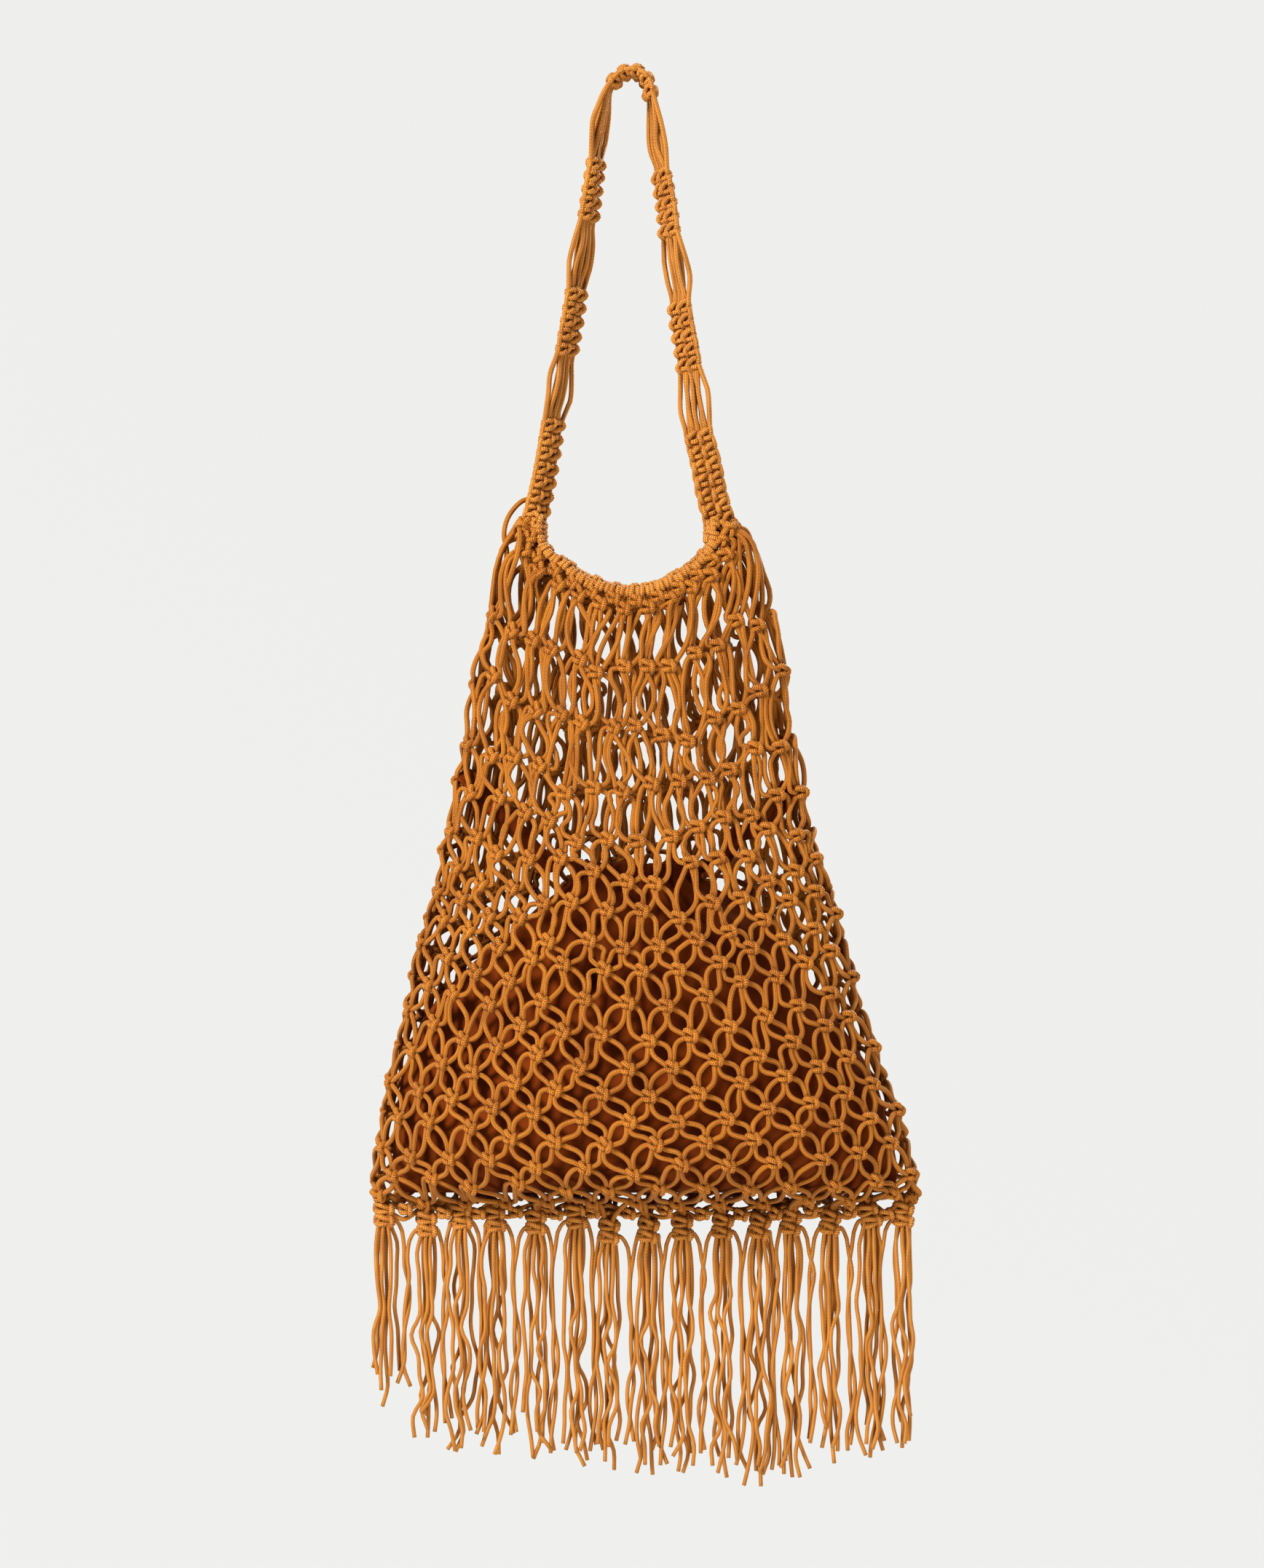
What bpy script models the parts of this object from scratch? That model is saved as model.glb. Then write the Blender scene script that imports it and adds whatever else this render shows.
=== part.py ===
# Knotted cord tote bag, hung by its handle. Metres, +Z up, the front faces -Y.
# The origin is where the hook holds it: the underside of the handle's top.
import math

import bpy
import bmesh
import numpy as np

for old in list(bpy.data.objects):
    bpy.data.objects.remove(old)

# Sizes in metres. Every table below holds shares of HEIGHT (down) and WIDTH (across),
# or of the size that its comment names.
HEIGHT = 0.821        # hook to the longest fringe end
WIDTH = 0.320         # net at its widest
DEPTH = 0.112         # front net to back net, inside, where the pouch is fullest
STRAP_W = 0.0178      # flat width of the handle's two rows of knots
STRAP_T = 0.0092      # its thickness
HALF_KNOT = 0.0029    # half the height of one bar of a knot row
RIM_H = 0.0168        # height of the knotted rim band
RIM_T = 0.0080        # its thickness
RIM_GAP = 0.0260      # front band to back band at the middle of the mouth
NET_BAR = 0.0076      # width of one leg of the net: two cords side by side
NET_T = 0.0052        # thickness of the net at a knot
CLOTH = 0.0020        # wall of the pouch
CORD = 0.0039         # one cord
CLEAR = 0.0004        # gap left between neighbours
TIE_W = 0.0088         # the pouch's cloth ties, flat
TIE_T = 0.0018
STRING = 0.0024        # the pouch's drawstring
HEAD_W = 0.0135
HEAD_H = 0.0140
HEAD_D = 0.0115
LOCK_W = 0.0172
LOCK_D = 0.0105

# Handle centre line, left end to right end: across, down.
HANDLE_PATH = (
    (-0.176, 0.3048), (-0.169, 0.296), (-0.156, 0.270), (-0.146, 0.245),
    (-0.131, 0.219), (-0.121, 0.193), (-0.110, 0.168), (-0.100, 0.142),
    (-0.088, 0.117), (-0.079, 0.091), (-0.070, 0.065), (-0.060, 0.040),
    (-0.054, 0.027), (-0.048, 0.014), (-0.036, 0.003), (-0.020, -0.0035),
    (0.000, -0.0056), (0.018, -0.0035), (0.031, 0.003), (0.037, 0.014),
    (0.040, 0.027), (0.044, 0.040), (0.055, 0.065), (0.066, 0.091),
    (0.073, 0.117), (0.084, 0.142), (0.091, 0.168), (0.102, 0.193),
    (0.110, 0.219), (0.118, 0.245), (0.133, 0.270), (0.146, 0.296),
    (0.155, 0.3048),
)
# Turn of the strap about its own line, degrees, by share of its length.
HANDLE_TURN = (
    (0.00, 52), (0.10, 54), (0.22, 58), (0.34, 64), (0.44, 78), (0.50, 90),
    (0.56, 80), (0.64, 64), (0.74, 55), (0.82, 46), (0.88, 28), (0.93, 6),
    (1.00, 0),
)
# Knotted stretches of each leg, as drops from the hook.
KNOTTED_LEFT = ((-0.01, 0.006), (0.056, 0.101), (0.147, 0.196), (0.239, 0.32))
KNOTTED_RIGHT = ((-0.01, 0.015), (0.064, 0.112), (0.156, 0.207), (0.247, 0.32))

# Centre line of the front rim band, left corner to right corner: across, down.
RIM_PATH = (
    (-0.180, 0.3182), (-0.175, 0.329), (-0.161, 0.3385), (-0.129, 0.348),
    (-0.087, 0.3578), (-0.043, 0.3645), (-0.003, 0.3668), (0.039, 0.3645),
    (0.079, 0.3578), (0.112, 0.3495), (0.142, 0.339), (0.157, 0.329),
    (0.159, 0.3182),
)

# Net outline: down, left edge, right edge.
NET_EDGES = (
    (0.325, -0.222, 0.210), (0.347, -0.239, 0.231), (0.370, -0.252, 0.247),
    (0.401, -0.273, 0.263), (0.431, -0.287, 0.282), (0.462, -0.301, 0.293),
    (0.493, -0.316, 0.308), (0.523, -0.332, 0.324), (0.554, -0.348, 0.346),
    (0.585, -0.366, 0.369), (0.615, -0.390, 0.391), (0.646, -0.404, 0.409),
    (0.677, -0.423, 0.437), (0.708, -0.441, 0.465), (0.738, -0.457, 0.492),
    (0.764, -0.470, 0.512), (0.789, -0.475, 0.520),
)
# Half depth of the net's inside, as shares of DEPTH, by drop.
NET_DEPTH = (
    (0.32, 0.03), (0.37, 0.08), (0.45, 0.13), (0.52, 0.21), (0.56, 0.28),
    (0.60, 0.36), (0.65, 0.44), (0.70, 0.49), (0.735, 0.50), (0.755, 0.46),
    (0.770, 0.38), (0.780, 0.27), (0.786, 0.14), (0.7895, 0.00),
)
# How full a level section is: half depth at u is (1 - |u| ** FULL) ** ROUND.
FULL = 2.2
ROUND = 0.8
# Top edge of the net, just under the rim: across, down.
NET_TOP = (
    (-0.240, 0.3330), (-0.225, 0.3335), (-0.200, 0.3415), (-0.186, 0.3445),
    (-0.143, 0.3606), (-0.110, 0.3680), (-0.076, 0.3736), (-0.040, 0.3776),
    (-0.003, 0.3790), (0.036, 0.3782), (0.068, 0.3760), (0.095, 0.3712),
    (0.130, 0.3612), (0.162, 0.3475), (0.178, 0.3415), (0.200, 0.3335),
    (0.240, 0.3330),
)
NET_BOTTOM = 0.7895
NET_COLUMNS = 6
# Heights of the rows of joints, as shares of the drop from top edge to bottom edge.
NET_ROWS = (0.0, 0.23, 0.425, 0.59, 0.72, 0.825, 0.902, 0.958, 1.0)

# Pouch outline: down, left, right, half depth as a share of DEPTH, fold as a share
# of the cloth wall.
POUCH = (
    (0.7832, -0.422, 0.466, 0.020, 0.0), (0.7780, -0.428, 0.476, 0.165, 0.2),
    (0.762, -0.432, 0.478, 0.358, 0.4), (0.738, -0.430, 0.465, 0.462, 0.5),
    (0.700, -0.415, 0.438, 0.455, 0.6), (0.668, -0.388, 0.386, 0.415, 0.7),
    (0.645, -0.352, 0.338, 0.370, 0.8), (0.620, -0.286, 0.312, 0.315, 0.9),
    (0.598, -0.215, 0.268, 0.255, 1.0), (0.580, -0.165, 0.205, 0.195, 1.1),
    (0.568, -0.122, 0.150, 0.140, 1.2), (0.5605, -0.100, 0.128, 0.110, 1.2),
    (0.5520, -0.118, 0.150, 0.145, 1.7),
)
POUCH_SIDES = 32
POUCH_FOLDS = 8

# Routes of the small free pieces, in metres: across, back, up.
TIE_LEFT = (
    (-0.0938, 0.000, -0.4045), (-0.0820, -0.006, -0.4190), (-0.0660, -0.008, -0.4340),
    (-0.0520, -0.006, -0.4490), (-0.0391, -0.002, -0.4560),
)
TIE_RIGHT = (
    (0.0530, -0.001, -0.4540), (0.0560, -0.005, -0.4460), (0.0590, -0.009, -0.4380),
    (0.0720, -0.008, -0.4330), (0.0845, -0.003, -0.4200), (0.0912, 0.000, -0.4080),
)
STRING_PATH = (
    (0.0418, -0.0030, -0.4600), (0.0545, -0.0120, -0.4610), (0.0660, -0.0175, -0.4650),
    (0.0770, -0.0185, -0.4700), (0.0880, -0.0165, -0.4760),
)
# Corner loops: across, up.
LOOP_LEFT = (
    (-0.0630, -0.2440), (-0.0685, -0.2490), (-0.0725, -0.2560), (-0.0738, -0.2640),
    (-0.0722, -0.2732),
)
LOOP_RIGHT = (
    (0.0598, -0.2592), (0.0650, -0.2605), (0.0680, -0.2650), (0.0678, -0.2732),
)

# Tassel heads: across, down to the head's middle, down to the fringe end.
TASSEL_AT = (
    (-0.446, 0.7985, 0.934), (-0.372, 0.7985, 0.956), (-0.307, 0.7985, 0.966),
    (-0.240, 0.7985, 0.968), (-0.170, 0.7985, 0.971), (-0.102, 0.7985, 0.976),
    (-0.036, 0.7985, 0.979), (0.031, 0.7985, 0.982), (0.098, 0.7985, 0.981),
    (0.165, 0.7985, 0.984), (0.230, 0.7985, 0.990), (0.294, 0.7985, 0.984),
    (0.360, 0.7985, 0.974), (0.427, 0.7985, 0.970), (0.489, 0.7985, 0.963),
)


def table(rows, x, column=1):
    """The value of a table's column at x."""
    keys = [r[0] for r in rows]
    return float(np.interp(x, keys, [r[column] for r in rows]))


def spline(points, step=None, count=None):
    """Points evenly spaced along a smooth curve through these."""
    p = np.array(points, float)
    ends = np.vstack([2 * p[0] - p[1], p, 2 * p[-1] - p[-2]])
    fine = []
    for i in range(len(p) - 1):
        a, b, c, d = ends[i:i + 4]
        for t in np.linspace(0, 1, 12, endpoint=False):
            fine.append(0.5 * (2 * b + (c - a) * t + (2 * a - 5 * b + 4 * c - d) * t ** 2
                               + (3 * b - a - 3 * c + d) * t ** 3))
    fine = np.array(fine + [p[-1]])
    run = np.concatenate([[0], np.cumsum(np.linalg.norm(np.diff(fine, axis=0), axis=1))])
    if count is None:
        count = int(round(run[-1] / step)) + 1
    at = np.linspace(0, run[-1], count)
    return np.stack([np.interp(at, run, fine[:, k]) for k in range(3)], axis=1)


def at_shares(across, down, y=0.0):
    return (WIDTH * across, y, -HEIGHT * down)


def unit(v):
    v = np.array(v, float)
    return v / np.linalg.norm(v)


def material(name, colour, rough):
    made = bpy.data.materials.new(name)
    made.use_nodes = True
    shader = made.node_tree.nodes["Principled BSDF"]
    shader.inputs["Base Color"].default_value = (*colour, 1)
    shader.inputs["Roughness"].default_value = rough
    made.diffuse_color = (*colour, 1)
    return made


def solid(name, verts, faces, colour, rough=0.8):
    """One closed object from points and faces, with its faces turned outwards."""
    mesh = bpy.data.meshes.new(name)
    mesh.from_pydata([tuple(map(float, v)) for v in verts], [], faces)
    work = bmesh.new()
    work.from_mesh(mesh)
    bmesh.ops.recalc_face_normals(work, faces=work.faces)
    if work.calc_volume(signed=True) < 0:
        bmesh.ops.reverse_faces(work, faces=work.faces)
    work.to_mesh(mesh)
    work.free()
    mesh.polygons.foreach_set("use_smooth", [True] * len(mesh.polygons))
    mesh.materials.append(material(name, colour, rough))
    obj = bpy.data.objects.new(name, mesh)
    bpy.context.scene.collection.objects.link(obj)
    return obj


def skin(rings, closed=False):
    """Faces that join rings of equal length, with flat caps at the ends."""
    n, verts, faces = len(rings[0]), [p for r in rings for p in r], []
    count = len(rings)
    for i in range(count if closed else count - 1):
        j = (i + 1) % count
        for k in range(n):
            m = (k + 1) % n
            faces.append((i * n + k, i * n + m, j * n + m, j * n + k))
    if not closed:
        faces.append(tuple(reversed(range(n))))
        faces.append(tuple((count - 1) * n + k for k in range(n)))
    return verts, faces


def sweep(name, path, wide, thin, section, colour, closed=False):
    """A section carried along a path. section(i) gives (wide, thin) pairs."""
    rings = []
    for i, p in enumerate(path):
        rings.append([np.array(p) + wide[i] * a + thin[i] * b for a, b in section(i)])
    return solid(name, *skin(rings, closed), colour)


def cord_frames(path, up=(0, 1, 0)):
    """Directions across and through a plain cord or strip, for each of its points."""
    tangents = np.gradient(np.array(path), axis=0)
    wide = [unit(np.cross(t, up)) for t in tangents]
    thin = [unit(np.cross(w, t)) for w, t in zip(wide, tangents)]
    return wide, thin


def round_section(r, sides=6):
    turn = [2 * math.pi * k / sides for k in range(sides)]
    return lambda i: [(r * math.cos(a), r * math.sin(a)) for a in turn]


CORD_COLOUR = (0.515, 0.205, 0.035)
CORD_DARK = (0.43, 0.16, 0.028)
POUCH_COLOUR = (0.22, 0.065, 0.018)
TIE_COLOUR = (0.20, 0.058, 0.016)

# The handle: a strap of two rows of square knots that alternate with bare cords.


def build_handle():
    line = spline([at_shares(a, d) for a, d in HANDLE_PATH], step=0.0005)
    run = np.linspace(0, 1, len(line))
    top = int(np.argmax(line[:, 2]))
    stations, kinds, i, bar = [0], [1], 0, 0
    while i < len(line) - 1:
        drop = -line[i, 2] / HEIGHT
        spans = KNOTTED_LEFT if i < top else KNOTTED_RIGHT
        knotted = any(a <= drop <= b for a, b in spans)
        i = min(i + int(round((HALF_KNOT if knotted else 3.6 * HALF_KNOT) / 0.0005)),
                len(line) - 1)
        bar = bar + 1 if knotted else 0
        stations.append(i)
        kinds.append(bar if knotted else -1)
    if stations[-1] - stations[-2] < 3:
        del stations[-2], kinds[-2]
    tangents = np.gradient(line, axis=0)
    path, wide, thin = [], [], []
    for i in stations:
        t = unit(tangents[i])
        inward = np.array((t[2], 0, -t[0]))
        turn = math.radians(table(HANDLE_TURN, run[i]))
        path.append(line[i])
        wide.append(math.cos(turn) * inward + math.sin(turn) * np.array((0, 1, 0)))
        thin.append(math.cos(turn) * np.array((0, 1, 0)) - math.sin(turn) * inward)

    def section(i):
        a, b, kind = STRAP_W / 2, STRAP_T / 2, kinds[i]
        if kind < 0:
            a, b, low = 0.80 * a, 0.80 * b, 0.86
        elif kind % 2:
            low = 0.66
        else:
            a, b, low = 0.93 * a, 0.82 * b, 0.72
        return ((a, 0), (0.62 * a, b), (0, low * b), (-0.62 * a, b),
                (-a, 0), (-0.62 * a, -b), (0, -low * b), (0.62 * a, -b))

    sweep("handle", path, wide, thin, section, CORD_COLOUR)


# The rim: one closed band of three knotted rows, folded over at both corners.


def build_rim():
    flat = np.array([at_shares(a, d) for a, d in RIM_PATH])
    reach = np.abs(flat[:, 0]).max()
    least = RIM_T / 2 + CLEAR
    front = spline(flat, step=0.0043)
    for p in front:
        p[1] = -(least + (RIM_GAP / 2 - least) * max(0.0, 1 - (p[0] / reach) ** 2))
    front[0, 1] = front[-1, 1] = -least
    path, wide = list(front), []
    tangents = np.gradient(front, axis=0)
    for t in tangents:
        wide.append(unit((-t[2], 0, t[0])))
    for end, side in ((front[-1], -1.0), (front[0], 1.0)):
        if side > 0:
            for p, w in list(zip(front, wide))[::-1]:
                path.append(p * (1, -1, 1))
                wide.append(w)
        for k in (1, 2, 3):
            a = math.pi * k / 4
            y = -math.cos(a) * least * (1 if side < 0 else -1)
            path.append(np.array((end[0], y, end[2] + math.sin(a) * least)))
            wide.append(np.array((side, 0, 0)))
    path = np.array(path)
    ahead = np.roll(path, -1, axis=0) - np.roll(path, 1, axis=0)
    thin = [unit(np.cross(t, w)) for t, w in zip(ahead, wide)]
    n_front = len(front)

    def section(i):
        w, t = RIM_H / 2, RIM_T / 2
        fold = n_front <= i < n_front + 3 or i >= len(path) - 3
        k = 0.0 if fold else (0.10 if i % 2 else -0.08)
        return ((w, -0.3 * t), (0.80 * w, (0.90 + k) * t), (0.36 * w, 0.66 * t),
                (-0.02 * w, (1.0 - k) * t), (-0.42 * w, 0.66 * t),
                (-0.78 * w, (0.92 + k) * t), (-w, -0.3 * t), (0, -0.93 * t))

    sweep("rim_band", path, wide, thin, section, CORD_COLOUR, closed=True)


# The net: two panels of one lattice, front and back, that meet at the sides.


def net_span(down):
    left = WIDTH * table(NET_EDGES, down, 1)
    right = WIDTH * table(NET_EDGES, down, 2)
    return (left + right) / 2, (right - left) / 2


def net_depth(x, z):
    """Half depth of the net at a point of the front view."""
    down = -z / HEIGHT
    middle, half = net_span(down)
    u = min(1.0, abs(x - middle) / half)
    full = (1 - u ** FULL) ** ROUND
    return DEPTH * table(NET_DEPTH, down) * full + (NET_T + CLEAR) / 2


def net_normal(x, z):
    """Outward direction of the front view's surface y = net_depth(x, z)."""
    step = 0.004
    middle, half = net_span(-z / HEIGHT)
    x = middle + 0.96 * (x - middle)
    z = max(z, -HEIGHT * NET_BOTTOM + step)
    dx = (net_depth(x + step, z) - net_depth(x - step, z)) / (2 * step)
    dz = (net_depth(x, z + step) - net_depth(x, z - step)) / (2 * step)
    return unit((-dx, 1.0, -dz))


def net_joint(a, b):
    """Across and up of joint a of row b."""
    s = a / NET_COLUMNS - 1
    x = WIDTH * 0.23 * s
    for _ in range(4):
        top = table(NET_TOP, x / WIDTH)
        down = top + (NET_BOTTOM - top) * NET_ROWS[b]
        middle, half = net_span(down)
        crowd = 0.05 + 2 * table(NET_DEPTH, down)
        x = middle + half * math.sin(crowd * s) / math.sin(crowd)
    return np.array((x, -HEIGHT * down))


def inset(corners, sides):
    """The hole inside a cell: each side moved in by its width, each corner cut off."""
    n, middle = len(corners), np.mean(corners, axis=0)
    lines = []
    for k in range(n):
        p, q = corners[k], corners[(k + 1) % n]
        along = unit(q - p)
        inward = np.array((-along[1], along[0]))
        if np.dot(middle - p, inward) < 0:
            inward = -inward
        lines.append((p + inward * sides[k], along))
    points = []
    for k in range(n):
        (p, d), (q, e) = lines[k - 1], lines[k]
        m = np.array((d, -e)).T
        points.append(p + d * np.linalg.solve(m, q - p)[0])
    hole = []
    for k in range(n):
        here, before, after = points[k], points[k - 1], points[(k + 1) % n]
        hole.append((here + 0.16 * (before - here), here + 0.16 * (after - here)))
    return hole


def build_net(name, side):
    columns, rows = 2 * NET_COLUMNS, len(NET_ROWS) - 1
    verts, faces, index = [], [], {}

    def both(key, xz, h):
        """Two points, one on each face of the panel, h either side of its middle."""
        if key not in index:
            middle = np.array((xz[0], net_depth(*xz), xz[1]))
            index[key] = len(verts)
            for reach in (h, -h):
                p = middle + reach * net_normal(*xz)
                low = max(p[2], -HEIGHT * NET_BOTTOM)
                verts.append((p[0], side * max(p[1], CLEAR / 2), low))
        return index[key]

    joints = {(a, b): net_joint(a, b) for a in range(columns + 1)
              for b in range(rows + 1)}
    for a in range(columns + 1):
        for b in range(rows + 1):
            if (a + b) % 2 == 0:
                continue
            ring = [(a, b - 1), (a + 1, b), (a, b + 1), (a - 1, b)]
            ring = [k for k in ring if 0 <= k[0] <= columns and 0 <= k[1] <= rows]
            n = len(ring)
            edge_sides = []
            for k in range(n):
                p, q = ring[k], ring[(k + 1) % n]
                border = (p[0] == q[0] and p[0] in (0, columns)) or \
                         (p[1] == q[1] and p[1] in (0, rows))
                edge_sides.append(NET_BAR * (0.85 if border else 0.5))
            hole = inset([joints[k] for k in ring], edge_sides)
            inner = []
            for k in range(n):
                inner.append(tuple(
                    both((a, b, k, j), hole[k][j], 0.30 * NET_T) for j in (0, 1)))
            outer = [both(k, joints[k], NET_T / 2) for k in ring]
            for s in (0, 1):
                for k in range(n):
                    m = (k + 1) % n
                    faces.append((outer[k] + s, inner[k][0] + s, inner[k][1] + s))
                    faces.append((outer[k] + s, inner[k][1] + s, inner[m][0] + s,
                                  outer[m] + s))
            for k in range(n):
                m = (k + 1) % n
                faces.append((inner[k][0], inner[k][1], inner[k][1] + 1,
                              inner[k][0] + 1))
                faces.append((inner[k][1], inner[m][0], inner[m][0] + 1,
                              inner[k][1] + 1))
            for k in range(n):
                p, q = ring[k], ring[(k + 1) % n]
                if (p[0] == q[0] and p[0] in (0, columns)) or \
                        (p[1] == q[1] and p[1] in (0, rows)):
                    i, j = outer[k], outer[(k + 1) % n]
                    faces.append((i, j, j + 1, i + 1))
    solid(name, verts, faces, CORD_COLOUR)


# The pouch: a cotton bag inside the net, open at its gathered mouth.


def pouch_ring(row, shrink, lift=0.0):
    down, left, right, depth, fold = row
    a = WIDTH * (right - left) / 2 - shrink
    b = DEPTH * depth - shrink - CLEAR / 2
    middle = WIDTH * (left + right) / 2
    ring = []
    for k in range(POUCH_SIDES):
        t = 2 * math.pi * k / POUCH_SIDES
        c, s = math.cos(t), math.sin(t)
        wave = fold * CLOTH * math.cos(POUCH_FOLDS * t + 0.9)
        u = abs(c) ** 0.9 * (1 if c >= 0 else -1)
        x = middle + u * (a + 0.6 * wave)
        y = (1 - abs(u) ** FULL) ** ROUND * b * (1 if s >= 0 else -1)
        y += wave * s
        ring.append(np.array((x, y, -HEIGHT * down + lift)))
    return ring


def build_pouch():
    outer = [pouch_ring(row, 0.0) for row in POUCH]
    inner = [pouch_ring(POUCH[i], CLOTH * (1.3 if i < 3 else 1.0), CLOTH if i == 2 else 0)
             for i in range(2, len(POUCH))]
    solid("pouch", *skin(outer + inner[::-1]), POUCH_COLOUR)


# The pouch's ties: two cloth strips up to the net's sides, and the drawstring's end.


def build_ties():
    w, t = TIE_W / 2, TIE_T / 2
    flat = ((w, t), (-w, t), (-w, -t), (w, -t))
    for name, points in (("pouch_tie_left", TIE_LEFT), ("pouch_tie_right", TIE_RIGHT)):
        path = spline(points, step=0.0105)
        sweep(name, path, *cord_frames(path), lambda i: flat, TIE_COLOUR)
    path = spline(STRING_PATH, step=0.0085)
    sweep("drawstring", path, *cord_frames(path), round_section(STRING / 2), TIE_COLOUR)


# A loop of one cord that stands off at each end of the rim.


def build_corner_loops():
    for name, points in (("corner_loop_left", LOOP_LEFT),
                         ("corner_loop_right", LOOP_RIGHT)):
        path = spline([(x, 0.0, z) for x, z in points], count=6)
        sweep(name, path, *cord_frames(path), round_section(CORD / 2), CORD_COLOUR)


# The tassels: a knotted head and a lock of cords each, fused.


def build_tassels():
    for i, (across, down, end) in enumerate(TASSEL_AT):
        x, z, low = WIDTH * across, -HEIGHT * down, -HEIGHT * end
        top = z + HEAD_H / 2
        rows = [(top, 0.78, 0.80), (top - 0.12 * HEAD_H, 1.0, 1.0),
                (z, 0.97, 1.0), (z - 0.40 * HEAD_H, 1.0, 1.0),
                (z - 0.52 * HEAD_H, 0.80, 0.80)]
        rings = []
        for h, a, b in rows:
            rings.append([(x + HEAD_W / 2 * a * c, HEAD_D / 2 * b * s, h)
                          for c, s in lobes(8, 0.0)])
        body = z - 0.52 * HEAD_H
        for k, (share, a, b) in enumerate(((0.16, 0.98, 0.9), (0.45, 1.0, 1.0),
                                           (0.75, 0.97, 0.95), (1.0, 0.84, 0.75))):
            h = body + (low - body) * share
            sway = 0.0009 * math.sin(2.1 * i + 2.6 * k)
            rings.append([(x + sway + LOCK_W / 2 * a * c, LOCK_D / 2 * b * s, h)
                          for c, s in lobes(8, 0.10)])
        solid(f"tassel_{i + 1:02d}", *skin(rings), CORD_COLOUR if i % 2 else CORD_DARK)


def lobes(n, deep):
    """Points of a rounded box, every second one drawn in."""
    out = []
    for k in range(n):
        t = 2 * math.pi * (k + 0.5) / n
        r = 1.05 * (1 - deep * (k % 2))
        out.append((max(-1, min(1, 1.08 * r * math.cos(t))), r * math.sin(t)))
    return out


build_handle()
build_rim()
build_net("net_front", -1)
build_net("net_back", 1)
build_pouch()
build_ties()
build_corner_loops()
build_tassels()
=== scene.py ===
import math

import bpy
import numpy as np
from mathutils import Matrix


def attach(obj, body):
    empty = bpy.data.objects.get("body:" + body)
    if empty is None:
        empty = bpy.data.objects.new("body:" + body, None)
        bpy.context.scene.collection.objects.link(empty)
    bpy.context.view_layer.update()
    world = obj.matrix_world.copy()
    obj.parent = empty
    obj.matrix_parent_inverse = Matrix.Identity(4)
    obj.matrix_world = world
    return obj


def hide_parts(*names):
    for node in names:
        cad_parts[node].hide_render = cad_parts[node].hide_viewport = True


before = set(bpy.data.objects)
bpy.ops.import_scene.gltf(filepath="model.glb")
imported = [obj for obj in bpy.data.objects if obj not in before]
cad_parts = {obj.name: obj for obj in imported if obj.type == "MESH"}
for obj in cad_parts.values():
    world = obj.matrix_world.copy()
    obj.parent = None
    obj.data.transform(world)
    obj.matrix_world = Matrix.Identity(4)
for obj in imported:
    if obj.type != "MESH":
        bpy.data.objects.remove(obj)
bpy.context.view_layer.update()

# Camera. The picture is 1736 x 2154 pixels, 0.42 mm of bag to a pixel, and the hook's place
# on the handle is the origin. The whole height of the picture is the sensor's long side.
MM = 0.001
PIXEL = 0.42 * MM
PICTURE_TALL = 2154
HOOK_ROW = 107
LENS_MM = 100.0
SENSOR_MM = 36.0

camera_data = bpy.data.cameras.new("camera")
camera_data.lens = LENS_MM
camera_data.sensor_width = SENSOR_MM
camera = bpy.data.objects.new("camera", camera_data)
bpy.context.scene.collection.objects.link(camera)
camera.location = (0, -PICTURE_TALL * PIXEL * LENS_MM / SENSOR_MM,
                   (HOOK_ROW - PICTURE_TALL / 2) * PIXEL)
camera.rotation_euler = (math.pi / 2, 0, 0)
bpy.context.scene.camera = camera

# The drawstring: one end of a thin round brown cord that closes the pouch's neck. It comes
# out of the gathers, hangs to the right inside the net, and is stopped by a small knot.
STRING = 0.0024
STRING_PATH = (
    (0.0418, -0.0030, -0.4600), (0.0545, -0.0120, -0.4610), (0.0660, -0.0175, -0.4650),
    (0.0770, -0.0185, -0.4700), (0.0880, -0.0165, -0.4760),
)
STOPPER_SWING = 0.0006
STOPPER_CORD = 0.0009
STRING_BROWN = (0.270, 0.070, 0.016)
STRING_SHADE = (0.120, 0.026, 0.006)
# The braid: length of one rib, how far its chevrons lean, and how deep the relief is.
BRAID_PITCH = 0.00082
CHEVRON_LEAN = 1.1
RELIEF = 0.00032
COTTON_SHEEN = (1.0, 0.72, 0.45)
chance = np.random.default_rng(11)


def unit(v):
    return v / np.maximum(np.linalg.norm(v, axis=-1, keepdims=True), 1e-12)


def flowing(points, per):
    """A smooth line through points (..., n, k), with per[i] samples after point i."""
    points = np.asarray(points, float)
    legs = np.linalg.norm(np.diff(points[..., :3], axis=-2), axis=-1)[..., None]
    legs = np.maximum(legs, 1e-9)
    slopes = np.diff(points, axis=-2) / legs
    inner = slopes[..., :-1, :] * legs[..., 1:, :] + slopes[..., 1:, :] * legs[..., :-1, :]
    inner = inner / (legs[..., 1:, :] + legs[..., :-1, :])
    tangents = np.concatenate([slopes[..., :1, :], inner, slopes[..., -1:, :]], axis=-2)
    out = []
    for i, count in enumerate(per):
        a, b = points[..., i, :], points[..., i + 1, :]
        m, n, leg = tangents[..., i, :], tangents[..., i + 1, :], legs[..., i, :]
        for t in np.arange(count) / count:
            out.append((2 * t ** 3 - 3 * t ** 2 + 1) * a + (t ** 3 - 2 * t ** 2 + t) * leg * m
                       + (3 * t ** 2 - 2 * t ** 3) * b + (t ** 3 - t ** 2) * leg * n)
    out.append(points[..., -1, :])
    return np.stack(out, axis=-2)


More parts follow.
